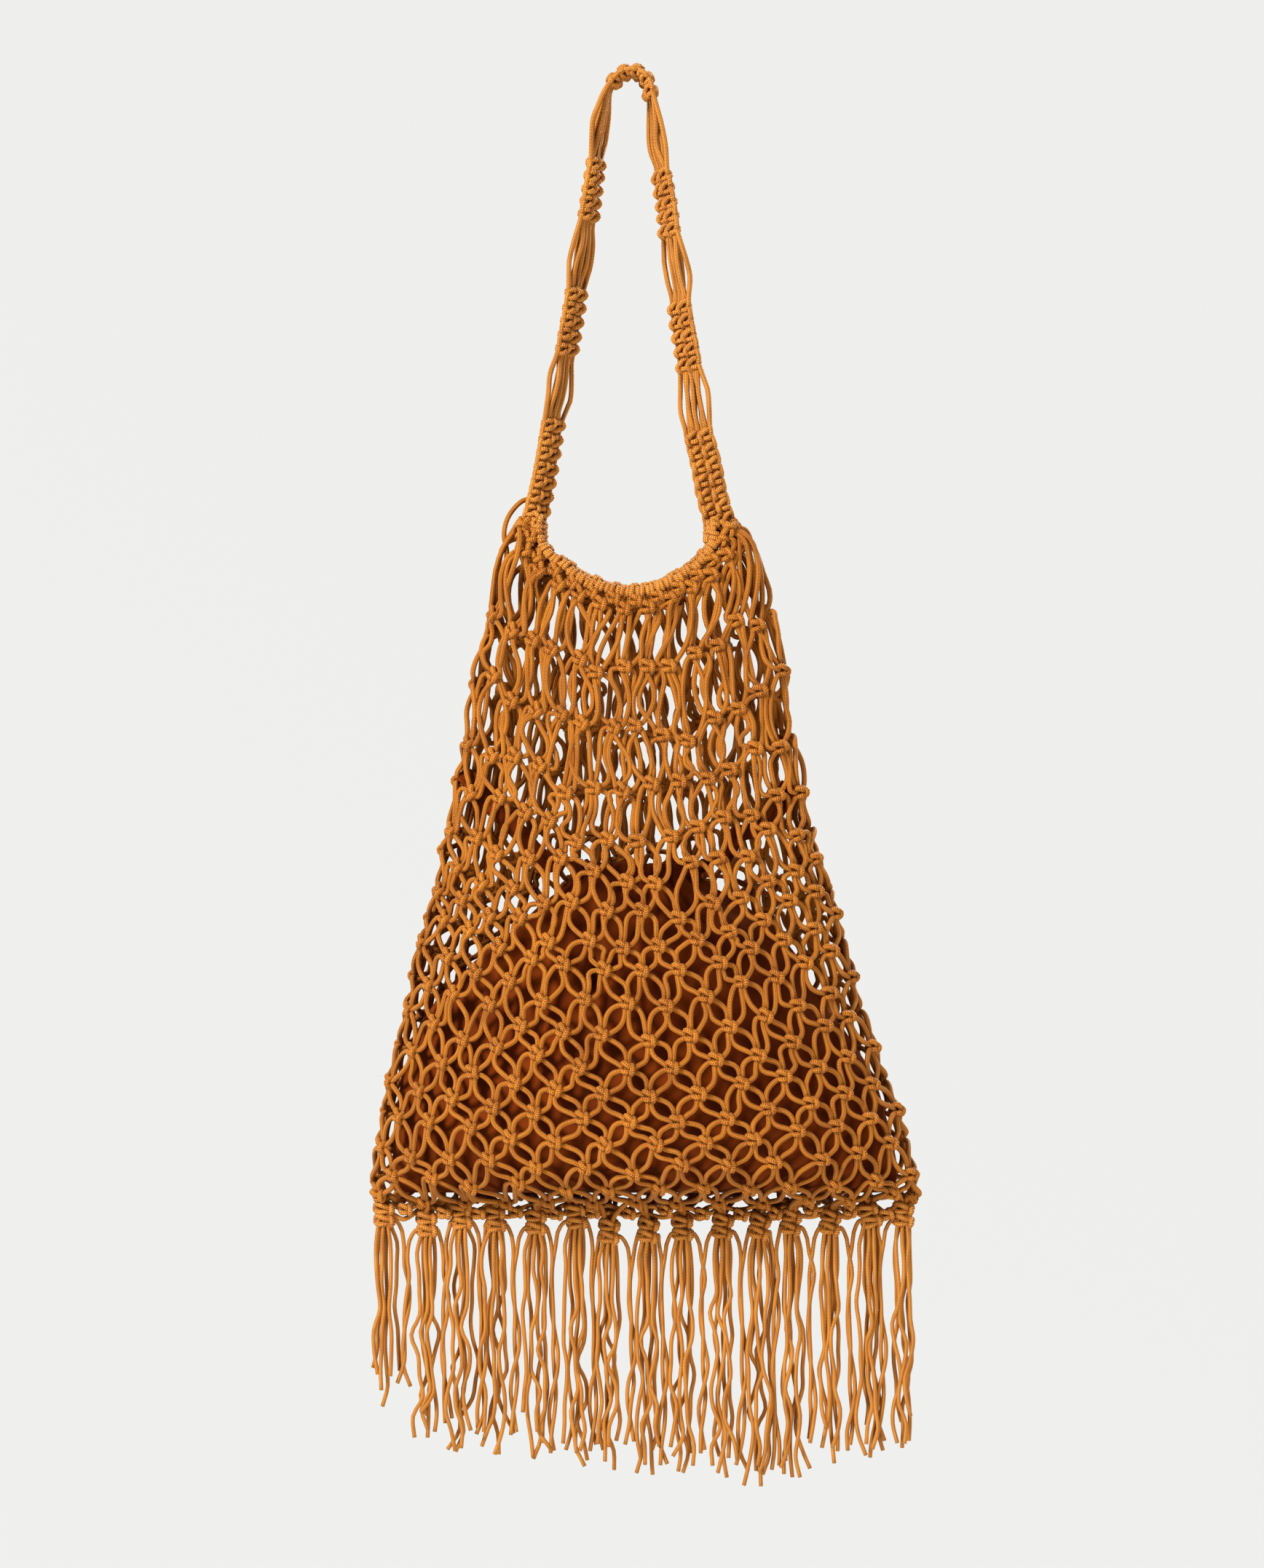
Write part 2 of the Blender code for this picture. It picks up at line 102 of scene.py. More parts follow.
def tubes(batch, sides):
    """Points, quads, caps and UVs of round cords: batch is (cords, points, x y z radius)."""
    path, radius = batch[..., :3], batch[..., 3]
    cords, length = path.shape[:2]
    ahead = unit(np.gradient(path, axis=1))
    across = np.empty_like(path)
    across[:, 0] = unit(np.cross(ahead[:, 0], (0.31, 0.95, 0.17)))
    for i in range(1, length):
        last = across[:, i - 1]
        lean = (last * ahead[:, i]).sum(axis=1, keepdims=True)
        across[:, i] = unit(last - lean * ahead[:, i])
    beside = np.cross(ahead, across)
    turn = 2 * np.pi * np.arange(sides) / sides
    ring = np.cos(turn)[:, None] * across[:, :, None] + np.sin(turn)[:, None] * beside[:, :, None]
    verts = path[:, :, None] + radius[:, :, None, None] * ring
    index = np.arange(cords * length * sides).reshape(cords, length, sides)
    near, far = index[:, :-1], index[:, 1:]
    quads = np.stack([near, np.roll(near, -1, axis=2), np.roll(far, -1, axis=2), far], axis=-1)
    run = np.zeros((cords, length))
    run[:, 1:] = np.cumsum(np.linalg.norm(np.diff(path, axis=1), axis=2), axis=1)
    run += chance.uniform(0, 0.01, (cords, 1))
    u0 = np.broadcast_to((np.arange(sides) / sides)[None, None], near.shape)
    u1 = u0 + 1.0 / sides
    v0 = np.broadcast_to(run[:, :-1, None], near.shape)
    v1 = np.broadcast_to(run[:, 1:, None], near.shape)
    uvs = np.stack([np.stack([u0, v0], -1), np.stack([u1, v0], -1),
                    np.stack([u1, v1], -1), np.stack([u0, v1], -1)], axis=-2)
    caps = np.concatenate([index[:, 0, ::-1], index[:, -1]])
    return verts.reshape(-1, 3), quads.reshape(-1, 4), caps, uvs.reshape(-1, 2)


def cord_piece(name, batches, sides, finish):
    """One object of round cords, each closed at both ends, with a UV map along the cords."""
    verts, quads, caps, uvs, base = [], [], [], [], 0
    for batch in batches:
        v, q, c, uv = tubes(batch, sides)
        verts.append(v)
        quads.append(q + base)
        caps.append(c + base)
        uvs.append(uv)
        base += len(v)
    verts, quads = np.concatenate(verts), np.concatenate(quads)
    caps, uvs = np.concatenate(caps), np.concatenate(uvs)
    corners = np.concatenate([quads.ravel(), caps.ravel()])
    sizes = np.concatenate([np.full(len(quads), 4), np.full(len(caps), sides)])
    starts = np.concatenate([[0], np.cumsum(sizes)[:-1]])
    mesh = bpy.data.meshes.new(name)
    mesh.vertices.add(len(verts))
    mesh.vertices.foreach_set("co", verts.ravel().astype(np.float32))
    mesh.loops.add(len(corners))
    mesh.loops.foreach_set("vertex_index", corners.astype(np.int32))
    mesh.polygons.add(len(sizes))
    mesh.polygons.foreach_set("loop_start", starts.astype(np.int32))
    mesh.polygons.foreach_set("use_smooth", np.ones(len(sizes), bool))
    mesh.update(calc_edges=True)
    layer = mesh.uv_layers.new(name="along_cord")
    flat = np.zeros((len(corners), 2), np.float32)
    flat[:len(uvs)] = uvs
    layer.data.foreach_set("uv", flat.ravel())
    mesh.materials.append(finish)
    piece = bpy.data.objects.new(name, mesh)
    bpy.context.scene.collection.objects.link(piece)
    return piece


def node(tree, kind, **settings):
    made = tree.nodes.new(kind)
    for key, value in settings.items():
        setattr(made, key, value)
    return made


def arithmetic(tree, work, a, b=None):
    """A Math node's output. a and b are sockets or numbers."""
    made = node(tree, "ShaderNodeMath", operation=work)
    for socket, value in zip(made.inputs, (a, b)):
        if value is None:
            continue
        if isinstance(value, (int, float)):
            socket.default_value = value
        else:
            tree.links.new(value, socket)
    return made.outputs[0]


def blend_colours(tree, share, low, high):
    mix = node(tree, "ShaderNodeMix", data_type="RGBA")
    tree.links.new(share, mix.inputs[0])
    for socket, value in ((mix.inputs[6], low), (mix.inputs[7], high)):
        if isinstance(value, tuple):
            socket.default_value = (*value, 1)
        else:
            tree.links.new(value, socket)
    return mix.outputs[2]


def mottled(tree, scale, detail):
    """A cloudy pattern through the piece, from its own coordinates."""
    place = node(tree, "ShaderNodeTexCoord")
    cloud = node(tree, "ShaderNodeTexNoise")
    cloud.inputs["Scale"].default_value = scale
    cloud.inputs["Detail"].default_value = detail
    tree.links.new(place.outputs["Object"], cloud.inputs["Vector"])
    return cloud.outputs[0]


def braided_cotton(name, colour, deep):
    """Braided cord: ribs across it that meet in low chevrons, with a pit at each meeting. The gaps
    and pits are darkened with painted shade.
    """
    made = bpy.data.materials.new(name)
    made.use_nodes = True
    tree = made.node_tree
    shader = tree.nodes["Principled BSDF"]
    uv = node(tree, "ShaderNodeUVMap", uv_map="along_cord")
    parts = node(tree, "ShaderNodeSeparateXYZ")
    tree.links.new(uv.outputs[0], parts.inputs[0])
    slant = arithmetic(tree, "PINGPONG", arithmetic(tree, "MULTIPLY", parts.outputs[0], 3.0), 0.5)
    ribs = arithmetic(tree, "DIVIDE", parts.outputs[1], BRAID_PITCH)
    ribs = arithmetic(tree, "ADD", ribs, arithmetic(tree, "MULTIPLY", slant, CHEVRON_LEAN))
    ribs = arithmetic(tree, "SINE", arithmetic(tree, "MULTIPLY", ribs, 2 * math.pi))
    ribs = arithmetic(tree, "ADD", arithmetic(tree, "MULTIPLY", ribs, 0.5), 0.5)
    off_seam = arithmetic(tree, "ABSOLUTE", arithmetic(tree, "SUBTRACT", slant, 0.25))
    off_seam = arithmetic(tree, "MULTIPLY", off_seam, 4.0)
    pit = arithmetic(tree, "MULTIPLY", arithmetic(tree, "POWER", off_seam, 5.0),
                     arithmetic(tree, "SUBTRACT", 1.0, ribs))
    height = arithmetic(tree, "SUBTRACT", ribs, arithmetic(tree, "MULTIPLY", pit, 1.2))
    # The colour runs from deep to colour. deep is painted shade in the braid's gaps and pits, and a
    # cloudy tone, the cotton's own, also moves the colour up and down.
    share = arithmetic(tree, "ADD", arithmetic(tree, "MULTIPLY", height, 0.66),
                       arithmetic(tree, "MULTIPLY", mottled(tree, 60, 3), 0.80))
    tree.links.new(blend_colours(tree, share, deep, colour), shader.inputs["Base Color"])
    rough = arithmetic(tree, "SUBTRACT", 0.76, arithmetic(tree, "MULTIPLY", height, 0.26))
    tree.links.new(rough, shader.inputs["Roughness"])
    shader.inputs["Sheen Weight"].default_value = 0.16
    shader.inputs["Sheen Tint"].default_value = (*COTTON_SHEEN, 1)
    shader.inputs["Specular IOR Level"].default_value = 0.45
    bump = node(tree, "ShaderNodeBump")
    bump.inputs["Strength"].default_value = 0.8
    bump.inputs["Distance"].default_value = RELIEF
    fuzz = arithmetic(tree, "MULTIPLY", mottled(tree, 1900, 2), 0.5)
    tree.links.new(arithmetic(tree, "ADD", height, fuzz), bump.inputs["Height"])
    tree.links.new(bump.outputs[0], shader.inputs["Normal"])
    return made


brown_cord = braided_cotton("brown_cord", STRING_BROWN, STRING_SHADE)
string_line = flowing(STRING_PATH, [10] * (len(STRING_PATH) - 1))
thickness = np.full((len(string_line), 1), STRING / 2)
string_batch = np.concatenate([string_line, thickness], axis=1)[None]
drawstring = cord_piece("drawstring_cord", [string_batch], 10, brown_cord)
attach(drawstring, "root")
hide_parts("drawstring")

turn = np.linspace(0, 2 * math.pi, 41)
string_end = STRING_PATH[-1]
stopper = np.stack([
    string_end[0] + STOPPER_SWING * (np.sin(turn) + 2 * np.sin(2 * turn)),
    string_end[1] + STOPPER_SWING * (np.cos(turn) - 2 * np.cos(2 * turn)),
    string_end[2] - 0.0010 - 0.0011 * np.sin(3 * turn),
    0 * turn + STOPPER_CORD,
], axis=1)
string_knot = cord_piece("drawstring_knot", [stopper[None]], 8, brown_cord)
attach(string_knot, "root")

# The stage: a round bowl of pale paper, a floor well under the fringe that curves up all round
# into a wall. The paper's own even glow is the room's soft light. A soft key light stands high
# on the left, a weaker one low in front, and a third behind on the right.
FLOOR_Z = -2.80
BOWL_R = 5.0
BOWL_BEND = 2.0
BOWL_TOP = 5.0
BOWL_SIDES = 64
BEND_STEPS = 12
PAPER = (0.040, 0.040, 0.040)
PAPER_GLOW = 0.572
GLOW_COLOUR = (0.995, 1.0, 0.98)
ROOM_COLOUR = (1.0, 0.98, 0.95)
ROOM_STRENGTH = 0.05

profile = [(0.001, FLOOR_Z), (BOWL_R - BOWL_BEND, FLOOR_Z)]
for k in range(1, BEND_STEPS + 1):
    bend = math.pi / 2 * k / BEND_STEPS
    profile.append((BOWL_R - BOWL_BEND + BOWL_BEND * math.sin(bend),
                    FLOOR_Z + BOWL_BEND - BOWL_BEND * math.cos(bend)))
profile.append((BOWL_R, BOWL_TOP))
profile.append((0.001, BOWL_TOP + 0.5))
bowl_turn = 2 * math.pi * np.arange(BOWL_SIDES) / BOWL_SIDES
bowl_points = [(r * math.cos(t), r * math.sin(t), z) for r, z in profile for t in bowl_turn]
bowl_faces = [(i * BOWL_SIDES + j, i * BOWL_SIDES + (j + 1) % BOWL_SIDES,
               (i + 1) * BOWL_SIDES + (j + 1) % BOWL_SIDES, (i + 1) * BOWL_SIDES + j)
              for i in range(len(profile) - 1) for j in range(BOWL_SIDES)]
sweep_mesh = bpy.data.meshes.new("paper_sweep")
sweep_mesh.from_pydata(bowl_points, [], bowl_faces)
sweep_mesh.polygons.foreach_set("use_smooth", [True] * len(sweep_mesh.polygons))
paper_sweep = bpy.data.objects.new("paper_sweep", sweep_mesh)
bpy.context.scene.collection.objects.link(paper_sweep)
paper = bpy.data.materials.new("paper")
paper.use_nodes = True
paper_shader = paper.node_tree.nodes["Principled BSDF"]
paper_shader.inputs["Base Color"].default_value = (*PAPER, 1)
paper_shader.inputs["Roughness"].default_value = 0.95
paper_shader.inputs["Emission Color"].default_value = (*GLOW_COLOUR, 1)
paper_shader.inputs["Emission Strength"].default_value = PAPER_GLOW
paper.cycles.emission_sampling = "NONE"
sweep_mesh.materials.append(paper)


def soft_light(name, place, aim, size, watts):
    """A round area light at a place, turned towards its aim."""
    lamp = bpy.data.lights.new(name, "AREA")
    lamp.shape = "DISK"
    lamp.size = size
    lamp.energy = watts
    lit = bpy.data.objects.new(name, lamp)
    bpy.context.scene.collection.objects.link(lit)
    lit.location = place
    to_aim = np.array(aim, float) - np.array(place, float)
    side = math.atan2(to_aim[1], to_aim[0])
    drop = math.atan2(to_aim[2], math.hypot(to_aim[0], to_aim[1]))
    lit.rotation_euler = (math.pi / 2 + drop, 0, side - math.pi / 2)


soft_light("key", (-1.9, -1.9, 1.15), (0, 0, -0.4), 0.9, 100)
soft_light("fill", (0.7, -1.7, -2.0), (0, 0, -0.65), 1.0, 24)
soft_light("behind", (1.7, 2.3, 1.5), (0, 0, -0.4), 1.0, 75)
world = bpy.data.worlds.new("room")
world.use_nodes = True
room = world.node_tree.nodes["Background"]
room.inputs["Color"].default_value = (*ROOM_COLOUR, 1)
room.inputs["Strength"].default_value = ROOM_STRENGTH
bpy.context.scene.world = world
bpy.context.scene.view_settings.view_transform = "Standard"
bpy.context.scene.view_settings.look = "High Contrast"

# The handle: eight braided cotton cords, tied as two square knot sinnets side by side. The
# knotted stretches alternate with bare ones, and the strap turns as it goes over the hook.
HEIGHT = 0.821
WIDTH = 0.320
CORD = 0.0031
KNOT_UNIT = 0.66 * CORD
# Painted light: this cord colour for the handle, rim and fringe is the net's cotton painted lighter,
# for the extra light that these free cords catch. Its dark partner is painted shade in the braid's
# gaps, mixed with the cotton's cloudy tone.
LIT_CARAMEL = (0.590, 0.270, 0.050)
LIT_CARAMEL_SHADE_AND_MOTTLE = (0.165, 0.037, 0.003)

# Centre lines of the two working cords of one square knot, front face out: across, out, up,
# in knot units. Each row ends with the samples on the stretch that follows.
RIGHT_WORKING = (
    (1.75, 0.35, 0.30, 1), (1.10, 0.80, 0.10, 2), (0.45, 1.30, 0.42, 2), (-0.35, 1.62, 0.90, 2),
    (-1.08, 1.10, 1.30, 2), (-1.48, 0.05, 1.05, 1), (-1.30, -0.45, 0.20, 1),
    (-1.42, 0.20, -0.50, 2), (-1.08, 0.98, -0.88, 2), (-0.25, 1.15, -0.92, 1),
    (0.55, 0.70, -0.75, 1), (1.75, 0.30, -0.70, 1),
)
LEFT_WORKING = (
    (-1.75, 0.25, 0.45, 1), (-1.10, -0.30, 0.12, 1), (-0.60, -1.00, 0.30, 1),
    (0.60, -1.00, 0.80, 1), (1.00, -0.10, 1.02, 2), (1.18, 1.25, 0.55, 2),
    (1.32, 1.95, -0.30, 2), (1.22, 1.35, -1.12, 2), (1.00, 0.05, -1.40, 1),
    (0.60, -1.00, -0.95, 1), (-0.60, -1.00, -0.30, 1), (-1.10, -0.30, -0.12, 1),
    (-1.75, 0.25, -0.60, 1),
)

# Centre line of the handle, left end to right end, as shares: across, down.
HANDLE_PATH = (
    (-0.186, 0.3290), (-0.182, 0.3185), (-0.176, 0.3080), (-0.169, 0.296),
    (-0.156, 0.270), (-0.146, 0.245), (-0.131, 0.219), (-0.121, 0.193),
    (-0.110, 0.168), (-0.100, 0.142), (-0.088, 0.117), (-0.079, 0.091),
    (-0.070, 0.065), (-0.060, 0.040), (-0.054, 0.027), (-0.048, 0.014),
    (-0.036, 0.003), (-0.020, -0.0035), (0.000, -0.0056), (0.018, -0.0035),
    (0.031, 0.003), (0.037, 0.014), (0.040, 0.027), (0.044, 0.040),
    (0.055, 0.065), (0.066, 0.091), (0.073, 0.117), (0.084, 0.142),
    (0.091, 0.168), (0.102, 0.193), (0.110, 0.219), (0.118, 0.245),
    (0.133, 0.270), (0.146, 0.296), (0.155, 0.3080), (0.163, 0.3185),
    (0.169, 0.3270),
)
# Turn of the strap about its own line, degrees, by share of its length.
HANDLE_TURN = (
    (0.00, 38), (0.06, 50), (0.10, 54), (0.22, 58), (0.34, 64), (0.44, 78), (0.50, 90),
    (0.56, 80), (0.64, 64), (0.74, 55), (0.82, 46), (0.88, 28), (0.93, 6), (1.00, 0),
)
# Knotted stretches of each leg, as drops from the hook.
KNOTTED_LEFT = ((-0.01, 0.006), (0.056, 0.101), (0.147, 0.196), (0.239, 0.329))
KNOTTED_RIGHT = ((-0.01, 0.015), (0.064, 0.112), (0.156, 0.207), (0.247, 0.327))
SINNET_APART = 0.0041
SINNET_PITCH = 0.0080
# The bare stretches: length between two points of a cord, and the cords' places beside and
# before each other.
BARE_STEP = 0.012
BARE_APART = 0.00185
BARE_DEEP = 0.0014

# The lighter copy of the braided cotton, painted light, for the handle, rim and fringe.
lit_caramel_cord = braided_cotton("lit_caramel_cord", LIT_CARAMEL, LIT_CARAMEL_SHADE_AND_MOTTLE)
corners = np.array([(WIDTH * a, 0.0, -HEIGHT * d) for a, d in HANDLE_PATH])
strap_line = flowing(corners, [40] * (len(corners) - 1))
strap_run = np.concatenate([[0], np.cumsum(np.linalg.norm(np.diff(strap_line, axis=0), axis=1))])
strap_ahead = unit(np.gradient(strap_line, axis=0))


def on_strap(run, across, out):
    """A point of the handle from its length along the strap and its place across and out."""
    spot = np.stack([np.interp(run, strap_run, strap_line[:, k]) for k in range(3)], axis=-1)
    t = unit(np.stack([np.interp(run, strap_run, strap_ahead[:, k]) for k in range(3)], axis=-1))
    turn = np.radians(np.interp(run / strap_run[-1], [r[0] for r in HANDLE_TURN],
                                [r[1] for r in HANDLE_TURN]))[..., None]
    inward = np.stack([t[..., 2], np.zeros_like(run), -t[..., 0]], axis=-1)
    wide = np.cos(turn) * inward + np.sin(turn) * np.array((0.0, 1.0, 0.0))
    return spot + across[..., None] * wide + out[..., None] * np.cross(wide, t)


def knotted_spans():
    """Lengths along the strap where each knotted stretch starts and ends."""
    drop = -strap_line[:, 2] / HEIGHT
    top = int(np.argmax(strap_line[:, 2]))
    spans = []
    for low, high in KNOTTED_LEFT[:0:-1]:
        inside = np.where((drop[:top] >= low) & (drop[:top] <= high))[0]
        spans.append((strap_run[inside[0]], strap_run[inside[-1]]))
    left_top = np.where(drop[:top] <= KNOTTED_LEFT[0][1])[0][0]
    right_top = top + np.where(drop[top:] <= KNOTTED_RIGHT[0][1])[0][-1]
    spans.append((strap_run[left_top], strap_run[right_top]))
    for low, high in KNOTTED_RIGHT[1:]:
        inside = top + np.where((drop[top:] >= low) & (drop[top:] <= high))[0]
        spans.append((strap_run[inside[0]], strap_run[inside[-1]]))
    return spans


def handle_strands():
    """The eight cords, each from one foot of the handle to the other."""
    strands = [(sinnet, kind, (sinnet + 1) * 2 + kind - 3.5, []) for sinnet in (-1, 1)
               for kind in range(4)]
    previous_end = None
    for start, end in knotted_spans():
        if previous_end is not None:
            count = max(2, int(round((start - previous_end) / BARE_STEP)))
            for s in range(1, count):
                at = previous_end + (start - previous_end) * s / count
                for sinnet, kind, slot, points in strands:
                    wander = 1.0 + (0.55 if abs(slot) > 3 else 0.1) * math.sin(math.pi * s / count)
                    points.append((at, slot * BARE_APART * wander + chance.normal(0, 0.0006),
                                   (BARE_DEEP if kind % 2 else -BARE_DEEP) + chance.normal(0, 0.0005),
                                   CORD * 0.48, 4))
        knots = max(2, int(round((end - start) / SINNET_PITCH)))
        pitch = (end - start) / knots
        for k in range(knots):
            middle = start + (k + 0.5) * pitch
            for sinnet, kind, slot, points in strands:
                off = sinnet * SINNET_APART
                jig = chance.normal(0, 0.0003)
                if kind in (1, 2):
                    x = (-0.5 if kind == 1 else 0.5) * KNOT_UNIT
                    points.append((middle - 0.3 * pitch, off + x, 0.0, CORD * 0.54, 2))
                    points.append((middle + 0.3 * pitch, off + x, 0.0, CORD * 0.54, 2))
                    continue
                shape = LEFT_WORKING if kind == 0 else RIGHT_WORKING
                side = -1 if kind == 0 else 1
                points.append((middle - 0.5 * pitch, off + side * 1.85 * KNOT_UNIT,
                               0.1 * KNOT_UNIT, CORD * 0.47, 2))
                for x, y, z, samples in shape:
                    points.append((middle - z * KNOT_UNIT * 1.12 + jig, off + x * KNOT_UNIT,
                                   y * KNOT_UNIT, CORD * 0.48, samples))
        previous_end = end
    batches = []
    for sinnet, kind, slot, points in strands:
        points = np.array(points)
        curve = flowing(points[:, :4], points[:-1, 4].astype(int))
        place = on_strap(curve[:, 0], curve[:, 1], curve[:, 2])
        batches.append(np.concatenate([place, curve[:, 3:4]], axis=1)[None])
    return batches


handle = cord_piece("handle_sinnets", handle_strands(), 8, lit_caramel_cord)
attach(handle, "root")
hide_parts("handle")

# The rim: two rows of double half hitches, each a pair of cord wraps round a core cord. The
# upper row rolls back into the mouth. The band folds over at both corners of the bag, where
# a few tight knots fill the corner between it and the handle's foot.
RIM_T = 0.0080
RIM_GAP = 0.0260
RIM_LEAST = RIM_T / 2 + 0.0004
RIM_PATH = (
    (-0.180, 0.3182), (-0.175, 0.329), (-0.161, 0.3385), (-0.129, 0.348),
    (-0.087, 0.3578), (-0.043, 0.3645), (-0.003, 0.3668), (0.039, 0.3645),
    (0.079, 0.3578), (0.112, 0.3495), (0.142, 0.339), (0.157, 0.329),
    (0.159, 0.3182),
)
# Rows of hitches: place up the band, place out of it, half height and half depth of a wrap.
HITCH_ROWS = ((0.0060, -0.0014, 0.0014, 0.0021), (0.0040, 0.0024, 0.0018, 0.0018))
HITCH_PAIRS = 52
PAIR_CLOSE = 0.38
CORE_POINTS = 120
# Tight knots at the corners: across, up, lean in degrees.
CORNER_KNOTS = (
    (-0.0592, -0.2578, 12), (-0.0548, -0.2540, -20), (-0.0628, -0.2646, 40),
    (-0.0566, -0.2630, -8), (-0.0604, -0.2702, 62), (0.0524, -0.2590, -10),
    (0.0572, -0.2622, 24), (0.0608, -0.2662, -35), (0.0628, -0.2702, 52), (0.0552, -0.2680, 5),
)
CORNER_OUT = 0.0036
CORNER_TIGHT = 0.86

front = np.array([(WIDTH * a, 0.0, -HEIGHT * d) for a, d in RIM_PATH])
front = flowing(front, [8] * (len(front) - 1))
front[:, 1] = -(RIM_LEAST + (RIM_GAP / 2 - RIM_LEAST)
                * np.maximum(0, 1 - (front[:, 0] / np.abs(front[:, 0]).max()) ** 2))
rim_up = unit(np.stack([-np.gradient(front[:, 2]), 0 * front[:, 0],
                        np.gradient(front[:, 0])], axis=1))
fold_turn = np.linspace(0, math.pi, 9)[1:-1]
folds = []
for corner, side in ((front[-1], -1.0), (front[0], 1.0)):
    start_y = corner[1] if side < 0 else -corner[1]
    points = np.stack([0 * fold_turn + corner[0], start_y * np.cos(fold_turn),
                       corner[2] + np.sin(fold_turn) * RIM_LEAST], axis=1)
    folds.append((points, np.tile((side, 0.0, 0.0), (len(points), 1))))
back = front[::-1] * (1, -1, 1)
rim_line = np.concatenate([front, folds[0][0], back, folds[1][0], front[:1]])
rim_up = np.concatenate([rim_up, folds[0][1], rim_up[::-1], folds[1][1], rim_up[:1]])
rim_run = np.concatenate([[0], np.cumsum(np.linalg.norm(np.diff(rim_line, axis=0), axis=1))])


def read_line(at, line):
    """Points or directions along the rim, read at lengths from its start."""
    return np.stack([np.interp(at, rim_run, line[:, k]) for k in range(3)], axis=-1)


def on_rim(run):
    """Points of the rim's middle line and its directions along, up and out."""
    run = np.mod(run, rim_run[-1])
    ahead = read_line(np.mod(run + 0.0012, rim_run[-1]), rim_line)
    along = unit(ahead - read_line(np.mod(run - 0.0012, rim_run[-1]), rim_line))
    up = read_line(run, rim_up)
    up = unit(up - (up * along).sum(axis=-1, keepdims=True) * along)
    return read_line(run, rim_line), along, up, np.cross(along, up)


def hitch_row(high, proud, half_up, half_out, lag):
    """Wraps of one row: each a cord's turn round the core, leaning a little, in pairs."""
    count = 2 * HITCH_PAIRS
    pair = (np.arange(count) // 2 + 0.5 + lag) / HITCH_PAIRS
    within = np.where(np.arange(count) % 2, 0.5, -0.5) * PAIR_CLOSE / HITCH_PAIRS
    run = (pair + within) * rim_run[-1] + chance.normal(0, 0.00015, count)
    spot, along, up, out = on_rim(run)
    ragged = np.repeat(chance.normal(0, 0.0006, HITCH_PAIRS), 2)
    spot = spot + up * (high + ragged)[:, None] \
        + out * (proud + chance.normal(0, 0.0002, count))[:, None]
    turn = np.linspace(0, 2 * np.pi, 13)
    lean = chance.normal(0.10, 0.05, count)[:, None, None]
    swell = np.repeat(chance.normal(1.0, 0.10, HITCH_PAIRS), 2)[:, None, None]
    ring = (swell * half_up * np.cos(turn)[None, :, None] * up[:, None]
            + half_out * np.sin(turn)[None, :, None] * out[:, None]
            + lean * half_up * 1.4 * np.cos(turn)[None, :, None] * along[:, None])
    path = spot[:, None] + ring
    radius = np.full(path.shape[:2] + (1,), CORD * 0.46) * chance.normal(1.0, 0.04, (count, 1, 1))
    return np.concatenate([path, radius], axis=2)


def core_cord(high, proud):
    """The thick cord inside one row of hitches."""
    spot, along, up, out = on_rim(np.linspace(0, rim_run[-1], CORE_POINTS))
    path = spot + high * up + proud * out
    return np.concatenate([path, np.full((CORE_POINTS, 1), CORD * 0.62)], axis=1)[None]


def lone_knots(places, wide, deep, tall, radius):
    """Square knots that stand by themselves: place, across, out and up of each."""
    made = []
    for shape in (LEFT_WORKING, RIGHT_WORKING):
        for spot, across, out, up in places:
            points = [np.concatenate([spot + x * wide * across + y * deep * out
                                      + z * tall * up, [radius]]) for x, y, z, _ in shape]
            made.append(flowing(np.array(points), [row[3] for row in shape[:-1]])[None])
    return made


hitches = [hitch_row(*row, lag) for row, lag in zip(HITCH_ROWS, (0.0, 0.5))]
hitches += [core_cord(row[0], row[1]) for row in HITCH_ROWS]
corner_places = []
for x, z, lean in CORNER_KNOTS:
    lean = math.radians(lean)
    for face in (-1, 1):
        across = np.array((-face * math.cos(lean), 0.0, math.sin(lean)))
        up = np.array((face * math.sin(lean), 0.0, math.cos(lean)))
        corner_places.append((np.array((x, face * CORNER_OUT, z)), across,
                              np.array((0.0, face, 0.0)), up))
tight = CORNER_TIGHT * KNOT_UNIT
hitches += lone_knots(corner_places, tight, 0.9 * KNOT_UNIT, tight, CORD * 0.48)
rim = cord_piece("rim_hitches", hitches, 8, lit_caramel_cord)
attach(rim, "root")
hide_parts("rim_band")

# The corner loops: at each end of the rim one cord stands off in a loop before it goes down into the
# net's side. It is the net's own cord, painted a little darker than the handle's: a copy of the same
# cotton with painted shade, because the net's crowded cords shade each other. Its dark partner is
# painted shade in the braid's gaps, mixed with the cotton's cloudy tone.
SHADED_NET_CARAMEL = (0.500, 0.203, 0.020)
SHADED_NET_SHADE_AND_MOTTLE = (0.120, 0.022, 0.0012)
LOOP_LEFT = (
    (-0.0585, -0.2425), (-0.0630, -0.2440), (-0.0685, -0.2490), (-0.0725, -0.2560),
    (-0.0738, -0.2640), (-0.0722, -0.2732), (-0.0735, -0.2850), (-0.0728, -0.2960),
)
LOOP_RIGHT = (
    (0.0560, -0.2580), (0.0598, -0.2592), (0.0650, -0.2605), (0.0680, -0.2650),
    (0.0678, -0.2732), (0.0700, -0.2830), (0.0705, -0.2950),
)

# The darker copy of the braided cotton, painted shade, for the net and the corner loops.
shaded_net_cord = braided_cotton("shaded_net_cord", SHADED_NET_CARAMEL, SHADED_NET_SHADE_AND_MOTTLE)
for name, line in (("corner_loop_left", LOOP_LEFT), ("corner_loop_right", LOOP_RIGHT)):
    points = np.array([(x, 0.0, z, CORD * 0.46) for x, z in line])
    curve = flowing(points, [5] * (len(points) - 1))
    loop = cord_piece(name + "_cord", [curve[None]], 8, shaded_net_cord)
    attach(loop, "root")
    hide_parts(name)

# The net: 104 cords that run from the rim to the seam. Four make each square knot: two tie
# it round the other two, and from one row to the next the tying and the tied cords change over.
DEPTH = 0.112
NET_OUT = 0.0034
# Each ring of the net and the pouch is a full oval: how wide its front stays, and how round
# its ends are.
FULL = 2.2
ROUND = 0.8
